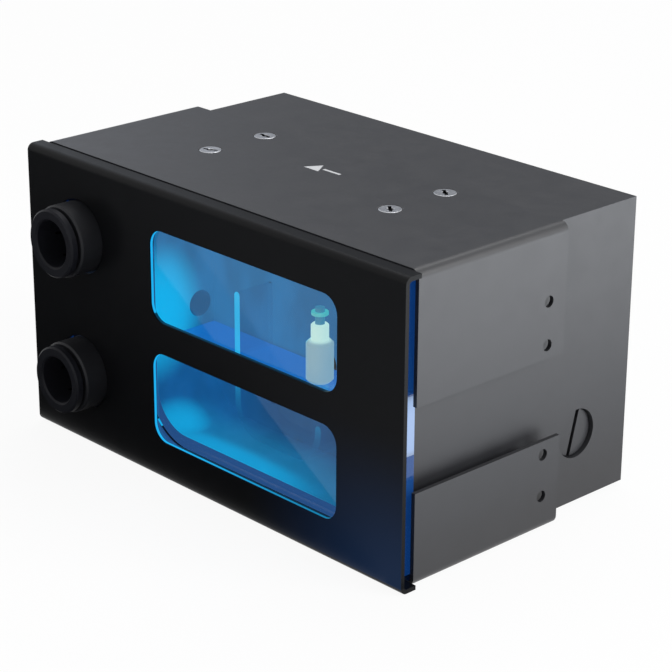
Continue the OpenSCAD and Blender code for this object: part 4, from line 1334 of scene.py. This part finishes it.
@dataclass(frozen=True)
class Card:
    """Flat card that shows only in gloss: a dark flag or a lit reflector."""

    name: str
    corners: Sequence[Point]
    strength: float
    tint: Colour = (0.93, 0.96, 1.0)
    fade: tuple[float, float] = (-1.0, -0.5)
    floor_share: float = 0.25

    def build(self) -> None:
        """Hangs the card; its light grows across the two fade places along X."""
        mesh = bpy.data.meshes.new(self.name)
        mesh.from_pydata(self.corners, [], [tuple(range(len(self.corners)))])
        made = Maker.place(self.name, mesh)
        for ray in ("camera", "diffuse", "transmission", "volume_scatter", "shadow"):
            setattr(made, f"visible_{ray}", False)
        graph = Graph(self.name)
        start, end = self.fade
        low = self.strength * self.floor_share
        level = graph.x.ramp(start / MM, end / MM, low, self.strength)
        glow = graph.node("ShaderNodeEmission", {}, {"Color": self.tint, "Strength": level})
        mesh.materials.append(graph.end(glow))
        made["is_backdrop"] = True


@dataclass
class Studio:
    """Camera, pale floor, white surroundings, cards and soft lamps."""

    azimuth: float = 46.553
    elevation: float = 21.431
    roll: float = 0.333
    distance: float = 614.5
    aim: Point = (9.5, 38.944, 40.1)
    lens: float = 121.746
    dim: float = 0.35
    floor_size: float = 6.0
    floor_drop: float = 0.2
    floor_white: float = 0.93
    floor_colour: Colour = (0.82, 0.82, 0.83)
    lamps: Sequence[Lamp] = (
        Lamp("key_lamp", (1.1, 0.35, 0.62), 0.7, 15.0),
        Lamp("top_lamp", (-0.3, 0.5, 1.3), 0.9, 8.0),
        Lamp("front_lamp", (0.3, -1.3, 0.7), 0.9, 2.5),
    )
    cards: Sequence[Card] = (
        Card(
            "near_flag",
            (
                (-2.0, -2.0, 0.001),
                (0.12, -2.0, 0.001),
                (0.12, -0.043, 0.001),
                (-2.0, -0.043, 0.001),
            ),
            0.03,
        ),
        Card(
            "band_card",
            ((-1.4, -0.735, 0.002), (0.1, -0.026, 0.002), (0.1, -0.9, 0.002), (-1.4, -1.4, 0.002)),
            0.42,
        ),
        Card(
            "far_band_card",
            ((-1.4, -0.78, 0.003), (0.1, -0.038, 0.003), (0.1, -0.9, 0.003), (-1.4, -1.4, 0.003)),
            0.56,
        ),
        Card(
            "left_flag",
            ((-0.5, 1.6, 0.01), (-1.8, 0.2, 0.01), (-1.8, 0.2, 1.5), (-0.5, 1.6, 1.5)),
            1.0,
            tint=(0.86, 0.91, 1.0),
            fade=(-1.02, -1.42),
        ),
        Card(
            "side_reflector",
            ((0.09, -0.3, 0.001), (1.6, -0.3, 0.001), (1.6, 1.8, 0.001), (0.09, 1.8, 0.001)),
            4.5,
            fade=(0.08, 0.28),
        ),
    )

    def camera(self) -> None:
        """Places the camera at its angle."""
        azimuth, elevation = math.radians(self.azimuth), math.radians(self.elevation)
        ahead, rise = math.cos(elevation), math.sin(elevation)
        back = Vector((math.sin(azimuth) * ahead, -math.cos(azimuth) * ahead, rise))
        right = Vector((math.cos(azimuth), math.sin(azimuth), 0.0))
        up = back.cross(right)
        cos, sin = math.cos(math.radians(self.roll)), math.sin(math.radians(self.roll))
        axes = Matrix((right * cos + up * sin, up * cos - right * sin, back)).transposed()
        data = bpy.data.cameras.new("camera")
        data.lens = self.lens
        data.sensor_width = 36.0
        data.clip_end = 20.0
        made = Maker.place("camera", data)
        eye = to_world(self.aim) + back * self.distance * MM
        made.matrix_world = Matrix.Translation(eye) @ axes.to_4x4()
        bpy.context.scene.camera = made

    def light_up(self) -> None:
        """Adds the lamps."""
        target = to_world(self.aim)
        for lamp in self.lamps:
            data = bpy.data.lights.new(lamp.name, "AREA")
            data.shape = "SQUARE"
            data.size = lamp.size
            data.energy = lamp.power
            data.color = lamp.tint
            made = Maker.place(lamp.name, data)
            made.location = Vector(lamp.place)
            made.rotation_euler = (made.location - target).to_track_quat("Z", "Y").to_euler()

    def surround(self) -> None:
        """Makes the world white to the eye and dimmer as a light."""
        world = bpy.data.worlds.new("studio")
        world.use_nodes = True
        nodes = Nodes(world.node_tree)
        nodes.tree.nodes.clear()
        span = {"Value": nodes.seen(), "To Min": self.dim, "To Max": 1.0}
        level = nodes.node("ShaderNodeMapRange", {}, span).outputs[0]
        light = nodes.node("ShaderNodeBackground", {}, {"Color": WHITE, "Strength": level})
        nodes.node("ShaderNodeOutputWorld", {}, {0: light.outputs[0]})
        bpy.context.scene.world = world

    def floor(self) -> None:
        """Lays a pale floor that keeps the unit's soft shadow."""
        half = self.floor_size / 2
        mesh = bpy.data.meshes.new("floor")
        level = CAD_BOUNDS[0][2] - self.floor_drop * MM
        corners = [(-half, -half), (half, -half), (half, half), (-half, half)]
        mesh.from_pydata([(x, y, level) for x, y in corners], [], [(0, 1, 2, 3)])
        graph = Graph("pale_floor")
        seen = Wire(graph, graph.seen())
        graph.end(graph.node("ShaderNodeBsdfDiffuse", {}, {"Color": self.floor_colour}))
        white = graph.node("ShaderNodeEmission", {}, {"Color": WHITE, "Strength": 1.0})
        mesh.materials.append(graph.overlay(seen * self.floor_white, white))
        made = Maker.place("floor", mesh)
        made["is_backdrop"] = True

    def build(self) -> None:
        """Sets the whole studio."""
        self.camera()
        for card in self.cards:
            card.build()
        self.light_up()
        self.surround()
        self.floor()
        bpy.context.scene.view_settings.view_transform = "Standard"
        log.info("set the studio")


def main() -> None:
    """Builds the studio and every sub-assembly, and reports each."""
    logging.basicConfig(level=logging.INFO, format="%(name)s: %(message)s")
    Studio().build()
    metal = SheetMetal()
    metal.build()
    metal.dress()
    tank = Tank()
    tank.build()
    tank.dress()
    parts = [LevelGauge(), SideLights(), TubeConnector("upper"), TubeConnector("lower")]
    parts += [PumpBlock(), Pump(), SidePlug()]
    for part in parts:
        part.dress()
        log.info("finished %s", type(part).__name__)


if __name__ == "__main__":
    main()
